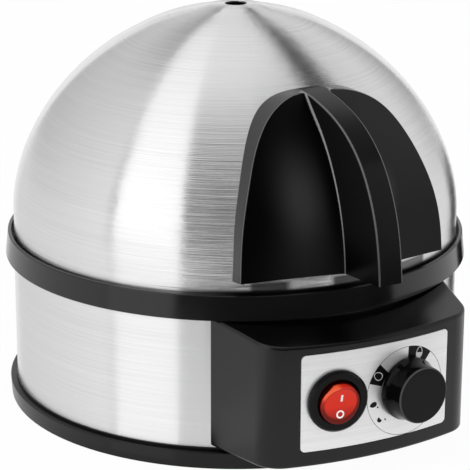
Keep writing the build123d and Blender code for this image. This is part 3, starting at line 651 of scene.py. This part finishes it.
def rocker_finish(name, settings):
    """Red moulding with painted shade and light: darker towards the foot of its face, in its groove and on its rim,
    lighter and glowing amber at the rim's upper left, with a faint painted glow all over.
    """
    finish = Finish(name)
    turn = math.radians(SWITCH_ANGLE)
    across = finish.x * math.cos(turn) + (finish.y - BOW_CENTRE) * math.sin(turn)
    outward = finish.x * math.sin(turn) - (finish.y - BOW_CENTRE) * math.cos(turn)
    up = finish.z - SWITCH_HEIGHT
    reach = (across * across + up * up) ** 0.5
    tilt = math.radians(ROCKER_TILT)
    front = ROCKER_PIN + (ROCKER_FACE - ROCKER_PIN) / math.cos(tilt)
    depth = front + up * math.tan(tilt) + up * up * (0.5 / ROCKER_HOLLOW) - outward
    left = (across * -1.0 / reach).step(*ROCKER_LEFT_TURN)
    shallow = (depth * (1.0 + 2.5 * left)).fade(*ROCKER_SHALLOW)
    oval = (across * across + up * up * 1.12) ** 0.5
    border = oval.step(*ROCKER_BORDER)
    groove = oval.step(*ROCKER_GROOVE) * (1.0 - border)
    glow_side = (across * AMBER_WAY[0] + up * AMBER_WAY[1]) / reach
    light_side = (across * LIGHT_WAY[0] + up * LIGHT_WAY[1]) / reach
    flow = finish.noise(finish.place, 420.0, 2.0)
    # Painted shade: darker towards the foot of the face, in the groove and on the rim; painted light on the rim's
    # upper left
    lit = 0.60 + 0.40 * up.step(*ROCKER_LIT) + (flow - 0.5) * 0.16
    inner = lit * (1.0 - 0.35 * groove) * (1.0 - border)
    outer = border * (0.16 + 0.70 * light_side.step(0.0, 1.0)) * shallow
    body = finish.blend(inner + outer, scaled(settings.red, 0.03), settings.red)
    # Painted amber glow on the rim's upper left, standing for light through the clear edge
    colour = finish.blend(border * glow_side.step(*AMBER_TURN) * shallow, body, settings.painted_amber_glow)
    return finish.surface(
        Base_Color=colour,
        Roughness=0.20 + (flow - 0.5) * 0.06,
        IOR=1.27,
        # A faint painted glow over the whole moulding, standing for light passing through the clear red plastic
        Emission_Color=colour,
        Emission_Strength=0.18,
        Normal=finish.bump(flow, 0.000008),
    )


def knob_finish(name, settings):
    """Dial moulding: mirror-bright sides, a fine dull face and a painted highlight along its front rim."""
    finish = Finish(name)
    turn = math.radians(KNOB_ANGLE)
    outward = finish.x * math.sin(turn) + (finish.y - BOW_CENTRE) * -math.cos(turn)
    before_face = outward - (KNOB_BACK + KNOB_LENGTH)
    plain = finish.node("ShaderNodeNewGeometry", output="Normal")
    axis = (math.sin(turn), -math.cos(turn), 0.0)
    ahead = finish.node("ShaderNodeVectorMath", {"operation": "DOT_PRODUCT"}, {0: plain, 1: axis}, output="Value")
    face = before_face.step(*KNOB_FACE_START)
    # Painted highlight along the rounded rim in front of the knob's face
    rim = turned(ahead, *KNOB_RIM_TURN) * before_face.step(*KNOB_RIM_START)
    grain = finish.noise(finish.place, 1.0 / settings.grain, 2.0, 0.6)
    swirl = finish.noise(finish.place, 60.0, 3.0)
    colour = finish.blend(face, settings.gloss_black, scaled(settings.satin_black, 2.1))
    return finish.surface(
        Base_Color=finish.blend(rim * 0.24, colour, settings.painted_edge_highlight),
        Roughness=0.10 + face * 0.26 + (swirl - 0.5) * 0.05,
        IOR=1.19,
        Normal=finish.bump(grain * face, 0.000008),
    )


def print_finish(name, colour, glow=0.0):
    """Ink of the printed marks, slightly uneven; the glow stands for light from the piece under it."""
    finish = Finish(name)
    uneven = finish.noise(finish.place, 2400.0, 2.0)
    tint = finish.blend(uneven, scaled(colour, 0.9), scaled(colour, 1.06))
    return finish.surface(
        Base_Color=tint,
        Roughness=0.38 + (uneven - 0.5) * 0.1,
        IOR=1.25,
        Emission_Color=tint,
        Emission_Strength=glow,
        Normal=finish.bump(uneven, 0.000004),
    )


def dress(nodes, material):
    """Gives CAD nodes a material."""
    for name in nodes:
        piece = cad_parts.get(name)
        if piece is None:
            raise RuntimeError(f"the frame has no node {name}")
        piece.data.materials.clear()
        piece.data.materials.append(material)


# Mesh helpers
def mixed(pair, share):
    """Value between two."""
    return pair[0] * (1.0 - share) + pair[1] * share


def finish_piece(name, mesh, material, body):
    """Turns a bmesh into a piece that rides on a body."""
    bmesh.ops.remove_doubles(mesh, verts=mesh.verts, dist=1e-7)
    data = bpy.data.meshes.new(name)
    mesh.to_mesh(data)
    mesh.free()
    data.materials.append(material)
    piece = bpy.data.objects.new(name, data)
    bpy.context.scene.collection.objects.link(piece)
    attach(piece, body)


def ring_sector(mesh, inner, outer, start, end):
    """Flat part of a ring; angles in degrees, clockwise from the top."""
    full = abs(end - start) >= 360.0
    turn = math.radians(90.0 - start)
    ends = [mesh.verts.new((radius * math.cos(turn), radius * math.sin(turn), 0.0)) for radius in (inner, outer)]
    edge = mesh.edges.new(ends)
    steps = max(8, int(abs(end - start) / 3.0))
    bmesh.ops.spin(
        mesh,
        geom=ends + [edge],
        cent=(0.0, 0.0, 0.0),
        axis=(0.0, 0.0, 1.0),
        angle=-math.radians(end - start),
        steps=steps,
        use_merge=full,
    )


def egg_loop(mesh, length, width, place, turn, filled):
    """Egg-shaped loop, filled or open: its narrow end points up before the turn, clockwise in degrees."""
    made = bmesh.ops.create_circle(mesh, cap_ends=filled, segments=28, radius=1.0)["verts"]
    for vertex in made:
        taper = 1.0 - 0.16 * vertex.co.y
        vertex.co.x *= width / 2.0 * taper
        vertex.co.y *= length / 2.0
    bmesh.ops.rotate(mesh, verts=made, cent=(0, 0, 0), matrix=Matrix.Rotation(-math.radians(turn), 3, "Z"))
    bmesh.ops.translate(mesh, verts=made, vec=(place[0], place[1], 0.0))
    return made


def edges_of(verts):
    """Edges whose ends are both among some vertices."""
    chosen = set(verts)
    return list({edge for vertex in verts for edge in vertex.link_edges if set(edge.verts) <= chosen})


def faces_of(verts):
    """Faces whose corners are all among some vertices."""
    chosen = set(verts)
    return list({face for vertex in verts for face in vertex.link_faces if set(face.verts) <= chosen})


def egg_outline(mesh, length, width, place, turn, line):
    """Flat outline of an egg."""
    outer = egg_loop(mesh, length, width, place, turn, False)
    inner = egg_loop(mesh, length - 2.0 * line, width - 2.0 * line, place, turn, False)
    bmesh.ops.bridge_loops(mesh, edges=edges_of(outer) + edges_of(inner))


def half_egg(mesh, length, width, place, turn, keep_top):
    """Flat upper or lower half of an egg."""
    verts = egg_loop(mesh, length, width, place, turn, True)
    faces = faces_of(verts)
    up = Vector((math.sin(math.radians(turn)), math.cos(math.radians(turn)), 0.0))
    geometry = verts + faces + edges_of(verts)
    bmesh.ops.bisect_plane(
        mesh,
        geom=geometry,
        plane_co=(place[0], place[1], 0.0),
        plane_no=up,
        clear_inner=keep_top,
        clear_outer=not keep_top,
    )


def at_dial(radius, angle):
    """Point on the dial; angle in degrees, clockwise from the top."""
    turn = math.radians(angle)
    return radius * math.sin(turn), radius * math.cos(turn)


def wrap_on_bow(mesh, angle, height, reach):
    """Bends a flat mesh onto the control plate's bowed face."""
    bmesh.ops.triangulate(mesh, faces=mesh.faces)
    turn = math.radians(angle)
    for vertex in mesh.verts:
        bearing = turn + vertex.co.x / reach
        distance = reach + vertex.co.z
        vertex.co = Vector(
            (distance * math.sin(bearing), BOW_CENTRE - distance * math.cos(bearing), height + vertex.co.y)
        )


def bow_frame(angle, height):
    """Frame square to the bow at an angle: X across, Y up, Z out of the front."""
    turn = math.radians(angle)
    across = Vector((math.cos(turn), math.sin(turn), 0.0))
    outward = Vector((math.sin(turn), -math.cos(turn), 0.0))
    axes = Matrix((across, Vector((0.0, 0.0, 1.0)), outward)).transposed().to_4x4()
    return Matrix.Translation((0.0, BOW_CENTRE, height)) @ axes


# Marks
def rocker_marks(marks, material):
    """White I and O that lie in the rocker's hollow face."""
    mesh = bmesh.new()
    width, height = marks.on_bar
    bar = bmesh.ops.create_grid(mesh, x_segments=2, y_segments=8, size=0.5)["verts"]
    bmesh.ops.scale(mesh, verts=bar, vec=(width, height, 1.0))
    bmesh.ops.translate(mesh, verts=bar, vec=(0.00022, 0.0028, 0.0))
    before = set(mesh.verts)
    ring_sector(mesh, marks.off_ring[1], marks.off_ring[0], 0.0, 360.0)
    ring = [vertex for vertex in mesh.verts if vertex not in before]
    bmesh.ops.translate(mesh, verts=ring, vec=(0.00005, -0.0038, 0.0))
    for vertex in mesh.verts:
        sag = ROCKER_HOLLOW - math.sqrt(ROCKER_HOLLOW**2 - vertex.co.y**2)
        vertex.co.z = ROCKER_FACE + sag + PRINT_LIFT
    pin = Matrix.Translation((0.0, 0.0, ROCKER_PIN))
    tilt = pin @ Matrix.Rotation(math.radians(ROCKER_TILT), 4, "X") @ pin.inverted()
    bmesh.ops.transform(mesh, verts=mesh.verts, matrix=bow_frame(SWITCH_ANGLE, SWITCH_HEIGHT) @ tilt)
    finish_piece("rocker_marks", mesh, material, "rocker")


def dial_dark_marks(marks, material):
    """Dark fields, eggs and dots printed round the dial."""
    mesh = bmesh.new()
    radius = marks.dial_radius
    for start, end in (marks.off_field, marks.egg_field):
        ring_sector(mesh, marks.field_inner, radius, start, end)
    egg_loop(mesh, 0.0030, 0.0021, at_dial(0.0147, -101.3), -104.0, True)
    half_egg(mesh, 0.0030, 0.0021, at_dial(0.0144, -128.6), 48.0, False)
    for angle in (-108.2, -136.2):
        spot = bmesh.ops.create_circle(mesh, cap_ends=True, segments=14, radius=0.00036)["verts"]
        x, y = at_dial(0.0132, angle)
        bmesh.ops.translate(mesh, verts=spot, vec=(x, y, 0.0))
    wrap_on_bow(mesh, KNOB_ANGLE, DIAL_HEIGHT, PLATE_FACE + PRINT_LIFT)
    finish_piece("dial_dark_marks", mesh, material, "base")


def dial_circle(marks, material):
    """Thin circle round the dial."""
    mesh = bmesh.new()
    ring_sector(mesh, marks.dial_radius - marks.dial_line, marks.dial_radius, 0.0, 360.0)
    wrap_on_bow(mesh, KNOB_ANGLE, DIAL_HEIGHT, PLATE_FACE + PRINT_LIFT / 2.0)
    finish_piece("dial_circle", mesh, material, "base")


def dial_light_marks(material):
    """White O and white egg in the dark fields."""
    mesh = bmesh.new()
    egg_outline(mesh, 0.0040, 0.0031, at_dial(0.0150, -57.4), -57.4, 0.00026)
    place = at_dial(0.0150, 22.6)
    egg_outline(mesh, 0.0045, 0.0030, place, 8.0, 0.00030)
    half_egg(mesh, 0.0043, 0.0028, place, 8.0, False)
    wrap_on_bow(mesh, KNOB_ANGLE, DIAL_HEIGHT, PLATE_FACE + 2.0 * PRINT_LIFT)
    finish_piece("dial_light_marks", mesh, material, "base")


def knob_pointer(marks, material):
    """White line up the knob's flared side."""
    mesh = bmesh.new()
    strip = bmesh.ops.create_grid(mesh, x_segments=2, y_segments=10, size=0.5)["verts"]
    turn = math.radians(marks.pointer_angle)
    for vertex in strip:
        share = (vertex.co.y + 0.5) * (len(KNOB_FLARE) - 1)
        index = min(int(share), len(KNOB_FLARE) - 2)
        part = share - index
        radius = mixed((KNOB_FLARE[index][0], KNOB_FLARE[index + 1][0]), part) + PRINT_LIFT
        rise = mixed((KNOB_FLARE[index][1], KNOB_FLARE[index + 1][1]), part)
        bearing = turn - vertex.co.x * marks.pointer_width / radius
        vertex.co = Vector((radius * math.sin(bearing), radius * math.cos(bearing), KNOB_BACK + rise))
    bmesh.ops.transform(mesh, verts=mesh.verts, matrix=bow_frame(KNOB_ANGLE, KNOB_HEIGHT))
    finish_piece("knob_pointer", mesh, material, "knob")


# Studio
def stage_object(name, mesh, material):
    """Stage piece from a bmesh."""
    data = bpy.data.meshes.new(name)
    mesh.to_mesh(data)
    mesh.free()
    data.materials.append(material)
    piece = bpy.data.objects.new(name, data)
    bpy.context.scene.collection.objects.link(piece)
    return piece


def glow_finish():
    """Even glow whose strength each panel's mesh holds."""
    finish = Finish("panel_glow")
    share = finish.node("ShaderNodeAttribute", {"attribute_name": "glow"}, output="Fac")
    light = finish.node("ShaderNodeEmission", inputs={"Color": (1.0, 1.0, 1.0, 1.0), "Strength": share})
    finish.node_to_output(light)
    return finish.material


def floor_finish():
    """Pale floor that shows white to the camera and to mirrors, with a faint shadow."""
    finish = Finish("floor")
    cloud = finish.noise(finish.place, 3.0, 2.0)
    pale = finish.blend(cloud, (0.86, 0.86, 0.86), (0.88, 0.88, 0.88))
    paper = finish.node("ShaderNodeBsdfDiffuse", inputs={"Color": pale})
    white = finish.node("ShaderNodeEmission", inputs={"Color": (1.0, 1.0, 1.0, 1.0), "Strength": 1.01})
    seen = seen_share(finish) * 0.955
    finish.node_to_output(finish.node("ShaderNodeMixShader", inputs={0: seen, 1: paper, 2: white}))
    return finish.material


def seen_share(finish):
    """1 for rays from the camera, mirrors and clear pieces, else 0."""
    camera = finish.node("ShaderNodeLightPath", output="Is Camera Ray")
    mirror = finish.node("ShaderNodeLightPath", output="Is Glossy Ray")
    clear = finish.node("ShaderNodeLightPath", output="Is Transmission Ray")
    return camera.math("MAXIMUM", camera.math("MAXIMUM", camera, mirror), clear)


def mirrored_ray(bearing, lift):
    """Direction that upright steel at a bearing mirrors towards the camera, at an angle from the table's plane."""
    side = VIEW_LEVEL * math.sin(bearing)
    rest = math.sqrt(1.0 - side * side)
    tangent = Vector((math.cos(bearing), math.sin(bearing), 0.0))
    outward = Vector((math.sin(bearing), -math.cos(bearing), 0.0))
    return tangent * side + (outward * math.cos(lift) + Vector((0.0, 0.0, 1.0)) * math.sin(lift)) * rest


def glow_panel(name, mesh, material):
    """Stage piece that only mirrors and gloss show."""
    panel = stage_object(name, mesh, material)
    panel.visible_camera = False
    panel.visible_diffuse = False
    panel.visible_shadow = False
    panel.visible_transmission = False


def arch_panel(name, bearings, lifts, glow, material, reach, azimuth, curve=1.0, lean=0.0):
    """Curved panel that fills one band of the round steel's mirror image.

    Bearings on the steel and angles from the table's plane are in degrees. The glow is two pairs
    of strengths, at the low end and at the high end, for the first and the last bearing. The lean
    moves the low end of the band to the right.
    """
    mesh = bmesh.new()
    level = mesh.verts.layers.float.new("glow")
    bmesh.ops.create_grid(mesh, x_segments=8, y_segments=40, size=0.5)
    for vertex in mesh.verts:
        across = vertex.co.x + 0.5
        up = vertex.co.y + 0.5
        vertex[level] = mixed((mixed(glow[0], across), mixed(glow[1], across)), up**curve)
        bearing = mixed(bearings, across) + lean * (1.0 - up)
        ray = mirrored_ray(math.radians(bearing), math.radians(mixed(lifts, up)))
        distance = reach
        if ray.z < 0.0:
            distance = min(reach, PANEL_CENTRE / -ray.z - PANEL_FLOOR_GAP)
        vertex.co = Vector((0.0, 0.0, PANEL_CENTRE)) + Matrix.Rotation(azimuth, 3, "Z") @ ray * distance
    glow_panel(name, mesh, material)


def floor_panel(name, bearings, glow, material, azimuth, start, rise):
    """Glow on the floor that fills one upright band of the jacket's mirror image."""
    mesh = bmesh.new()
    level = mesh.verts.layers.float.new("glow")
    bmesh.ops.create_grid(mesh, x_segments=8, y_segments=12, size=0.5)
    for vertex in mesh.verts:
        across = vertex.co.x + 0.5
        out = vertex.co.y + 0.5
        vertex[level] = mixed(glow, across)
        bearing = math.radians(mixed(bearings, across))
        ray = mirrored_ray(bearing, -math.radians(VIEW_DROP))
        foot = Vector((math.sin(bearing), -math.cos(bearing), 0.0)) * (JACKET_RADIUS + FLOOR_PANEL_GAP)
        place = foot + Vector((ray.x, ray.y, 0.0)).normalized() * mixed((start, FLOOR_PANEL_REACH), out)
        vertex.co = Matrix.Rotation(azimuth, 3, "Z") @ place + Vector((0.0, 0.0, rise))
    glow_panel(name, mesh, material)


def soft_lamp(name, azimuth, elevation, reach, width, height, power):
    """Rectangular lamp aimed at the cooker."""
    data = bpy.data.lights.new(name, "AREA")
    data.shape = "RECTANGLE"
    data.size = width
    data.size_y = height
    data.energy = power
    lamp = bpy.data.objects.new(name, data)
    level = math.cos(elevation)
    ray = Vector((math.sin(azimuth) * level, -math.cos(azimuth) * level, math.sin(elevation)))
    lamp.location = Vector((0.0, 0.0, LAMP_AIM)) + ray * reach
    lamp.rotation_euler = (-ray).to_track_quat("-Z", "Y").to_euler()
    lamp.visible_glossy = False
    bpy.context.scene.collection.objects.link(lamp)


def white_room(studio):
    """World that looks white and lights at a plain level."""
    world = bpy.data.worlds.new("room")
    bpy.context.scene.world = world
    world.use_nodes = True
    tree = world.node_tree
    tree.nodes.clear()
    path = tree.nodes.new("ShaderNodeLightPath")
    share = tree.nodes.new("ShaderNodeMath")
    share.operation = "MAXIMUM"
    tree.links.new(path.outputs["Is Camera Ray"], share.inputs[0])
    tree.links.new(path.outputs["Is Glossy Ray"], share.inputs[1])
    strength = tree.nodes.new("ShaderNodeMapRange")
    tree.links.new(share.outputs[0], strength.inputs["Value"])
    strength.inputs["To Min"].default_value = studio.sky
    strength.inputs["To Max"].default_value = 1.0
    glow = tree.nodes.new("ShaderNodeBackground")
    glow.inputs["Color"].default_value = (1.0, 1.0, 1.0, 1.0)
    tree.links.new(strength.outputs[0], glow.inputs["Strength"])
    end = tree.nodes.new("ShaderNodeOutputWorld")
    tree.links.new(glow.outputs[0], end.inputs["Surface"])


def photo_camera(studio):
    """Camera at the photographed angle."""
    data = bpy.data.cameras.new("photo_camera")
    data.sensor_width = LENS_SENSOR
    data.lens = studio.focal
    data.clip_start = 0.05
    camera = bpy.data.objects.new("photo_camera", data)
    turn = Matrix.Rotation(studio.azimuth, 4, "Z")
    place = turn @ Vector((0.0, -studio.distance, studio.height))
    aim = Matrix.Rotation(math.pi / 2.0 - studio.pitch, 4, "X")
    camera.matrix_world = Matrix.Translation(place) @ turn @ aim @ Matrix.Rotation(studio.roll, 4, "Z")
    bpy.context.scene.collection.objects.link(camera)
    bpy.context.scene.camera = camera


# Operators, sidebar panel and registration
class COOKER_OT_studio(bpy.types.Operator):
    """Builds the floor, room, lamps, mirrored panels and camera"""

    bl_idname = "cooker.studio"
    bl_label = "Studio"

    def execute(self, context):
        studio = context.scene.cooker_studio
        context.scene.view_settings.view_transform = "Standard"
        floor = bmesh.new()
        bmesh.ops.create_grid(floor, x_segments=2, y_segments=2, size=6.0)
        stage_object("floor", floor, floor_finish())
        white_room(studio)
        photo_camera(studio)
        turn = studio.azimuth
        glow = glow_finish()
        bright = studio.panel
        arch_panel("panel_bright", (-31.5, -14.0), (0.0, 132.0), ((bright, bright), (1.1, 1.1)), glow, 1.60, turn)
        for name, bearings, lifts, strengths, reach, curve, lean in ARCH_PANELS:
            arch_panel(name, bearings, lifts, strengths, glow, reach, turn, curve, lean)
        for name, bearings, strengths, start, rise in FLOOR_PANELS:
            floor_panel(name, bearings, strengths, glow, turn, start, rise)
        soft_lamp("lamp_key", turn + math.radians(-46.0), math.radians(38.0), 1.3, 0.9, 0.9, studio.key)
        soft_lamp("lamp_fill", turn + math.radians(60.0), math.radians(35.0), 1.6, 1.2, 1.0, studio.key * 0.45)
        return {"FINISHED"}


class COOKER_OT_steel(bpy.types.Operator):
    """Gives the dome and the jacket their brushed steel"""

    bl_idname = "cooker.steel"
    bl_label = "Steel dome and jacket"

    def execute(self, context):
        finishes = context.scene.cooker_finishes
        dress(["lid_dome"], steel_finish("steel_dome", True, finishes))
        dress(["jacket"], steel_finish("steel_jacket", False, finishes))
        return {"FINISHED"}


class COOKER_OT_mouldings(bpy.types.Operator):
    """Gives the black mouldings their shiny or dull plastic"""

    bl_idname = "cooker.mouldings"
    bl_label = "Black mouldings"

    def execute(self, context):
        finishes = context.scene.cooker_finishes
        dress(["top_ring"], gloss_finish("black_gloss", finishes.gloss_black, 0.15, 1.46))
        dress(["control_housing"], gloss_finish("black_box", scaled(finishes.gloss_black, 0.3), 0.25, 1.40))
        foot = satin_finish("black_foot", finishes.satin_black, finishes, 0.30, ior=1.33)
        dress(["foot_base", "housing_floor"], foot)
        dress(["handle"], handle_finish(finishes))
        dress(["egg_tray"], satin_finish("black_tray", finishes.satin_black, finishes, 0.46, 0.7))
        dress(["rubber_feet", "cord_inlet"], rubber_finish("rubber_black", (0.022, 0.022, 0.022)))
        return {"FINISHED"}


class COOKER_OT_panel(bpy.types.Operator):
    """Finishes the control plate and prints the dial's marks"""

    bl_idname = "cooker.control_panel"
    bl_label = "Control plate and dial print"

    def execute(self, context):
        finishes = context.scene.cooker_finishes
        marks = context.scene.cooker_marks
        dress(["control_plate"], plate_finish("plate_brushed", finishes))
        dark = print_finish("print_dark", finishes.print_black)
        white = print_finish("print_white", finishes.print_white)
        dial_dark_marks(marks, dark)
        dial_circle(marks, dark)
        dial_light_marks(white)
        return {"FINISHED"}


class COOKER_OT_switch(bpy.types.Operator):
    """Finishes the switch and prints I and O on its rocker"""

    bl_idname = "cooker.switch"
    bl_label = "Rocker switch"

    def execute(self, context):
        finishes = context.scene.cooker_finishes
        marks = context.scene.cooker_marks
        dress(["rocker"], rocker_finish("rocker_red", finishes))
        dress(["switch_bezel"], satin_finish("black_bezel", finishes.gloss_black, finishes, 0.26, ior=1.24))
        rocker_marks(marks, print_finish("mark_white", finishes.print_white, 0.32))
        return {"FINISHED"}


class COOKER_OT_knob(bpy.types.Operator):
    """Finishes the dial knob and its pointer"""

    bl_idname = "cooker.knob"
    bl_label = "Dial knob"

    def execute(self, context):
        finishes = context.scene.cooker_finishes
        marks = context.scene.cooker_marks
        dress(["knob"], knob_finish("knob_black", finishes))
        knob_pointer(marks, print_finish("pointer_white", finishes.print_white))
        return {"FINISHED"}


class COOKER_OT_inside(bpy.types.Operator):
    """Finishes the pan, the heater, the terminals and the fasteners"""

    bl_idname = "cooker.inside"
    bl_label = "Inside and fasteners"

    def execute(self, context):
        zinc = metal_finish("zinc", (0.50, 0.51, 0.53), 0.38, 900.0, 0.000010)
        dress(["heating_pan"], metal_finish("pan_satin", (0.52, 0.52, 0.53), 0.32, 1400.0, 0.000006))
        dress(["pan_seal"], rubber_finish("seal_grey", (0.28, 0.28, 0.29)))
        dress(["heat_plate"], metal_finish("cast_aluminium", (0.58, 0.58, 0.60), 0.48, 700.0, 0.000030))
        dress(["knob_shaft"], metal_finish("turned_aluminium", (0.60, 0.60, 0.62), 0.30, 1600.0, 0.000006))
        dress(["heating_element"], element_finish("element_sheath"))
        dress(["thermostat", "regulator_body"], ceramic_finish("ceramic_white", (0.72, 0.70, 0.65)))
        brass = metal_finish("brass", (0.62, 0.46, 0.20), 0.30, 1200.0, 0.000008)
        dress(["thermal_fuse", "switch_terminals", "regulator_terminals"], brass)
        small = [
            "thermostat_clip",
            "fuse_cradle",
            "heat_shield",
            "shield_studs",
            "base_screws",
            "floor_screws",
            "rocker_pin",
            "regulator_nut",
            "handle_screws",
            "handle_washers",
        ]
        dress(small, zinc)
        return {"FINISHED"}


OPERATORS = (
    COOKER_OT_studio,
    COOKER_OT_steel,
    COOKER_OT_mouldings,
    COOKER_OT_panel,
    COOKER_OT_switch,
    COOKER_OT_knob,
    COOKER_OT_inside,
)


class COOKER_PT_panel(bpy.types.Panel):
    """Sidebar panel with one button for each group of pieces"""

    bl_label = "Egg cooker"
    bl_idname = "COOKER_PT_panel"
    bl_space_type = "VIEW_3D"
    bl_region_type = "UI"
    bl_category = "Egg cooker"

    def draw(self, context):
        for operator in OPERATORS:
            self.layout.operator(operator.bl_idname)
        for group in ("cooker_finishes", "cooker_marks", "cooker_studio"):
            box = self.layout.box()
            settings = getattr(context.scene, group)
            for name in settings.bl_rna.properties.keys():
                if name not in ("rna_type", "name"):
                    box.prop(settings, name)


GROUPS = (
    ("cooker_finishes", CookerFinishes),
    ("cooker_marks", CookerMarks),
    ("cooker_studio", CookerStudio),
)


def register():
    """Registers the classes and hangs the settings on the scene."""
    for name, group in GROUPS:
        bpy.utils.register_class(group)
        setattr(bpy.types.Scene, name, bpy.props.PointerProperty(type=group))
    for operator in OPERATORS:
        bpy.utils.register_class(operator)
    bpy.utils.register_class(COOKER_PT_panel)


def unregister():
    """Takes the classes and settings away again."""
    bpy.utils.unregister_class(COOKER_PT_panel)
    for operator in reversed(OPERATORS):
        bpy.utils.unregister_class(operator)
    for name, group in reversed(GROUPS):
        delattr(bpy.types.Scene, name)
        bpy.utils.unregister_class(group)


def main():
    """Builds every piece in order."""
    register()
    bpy.ops.cooker.studio()
    bpy.ops.cooker.steel()
    bpy.ops.cooker.mouldings()
    bpy.ops.cooker.control_panel()
    bpy.ops.cooker.switch()
    bpy.ops.cooker.knob()
    bpy.ops.cooker.inside()


if __name__ == "__main__":
    main()
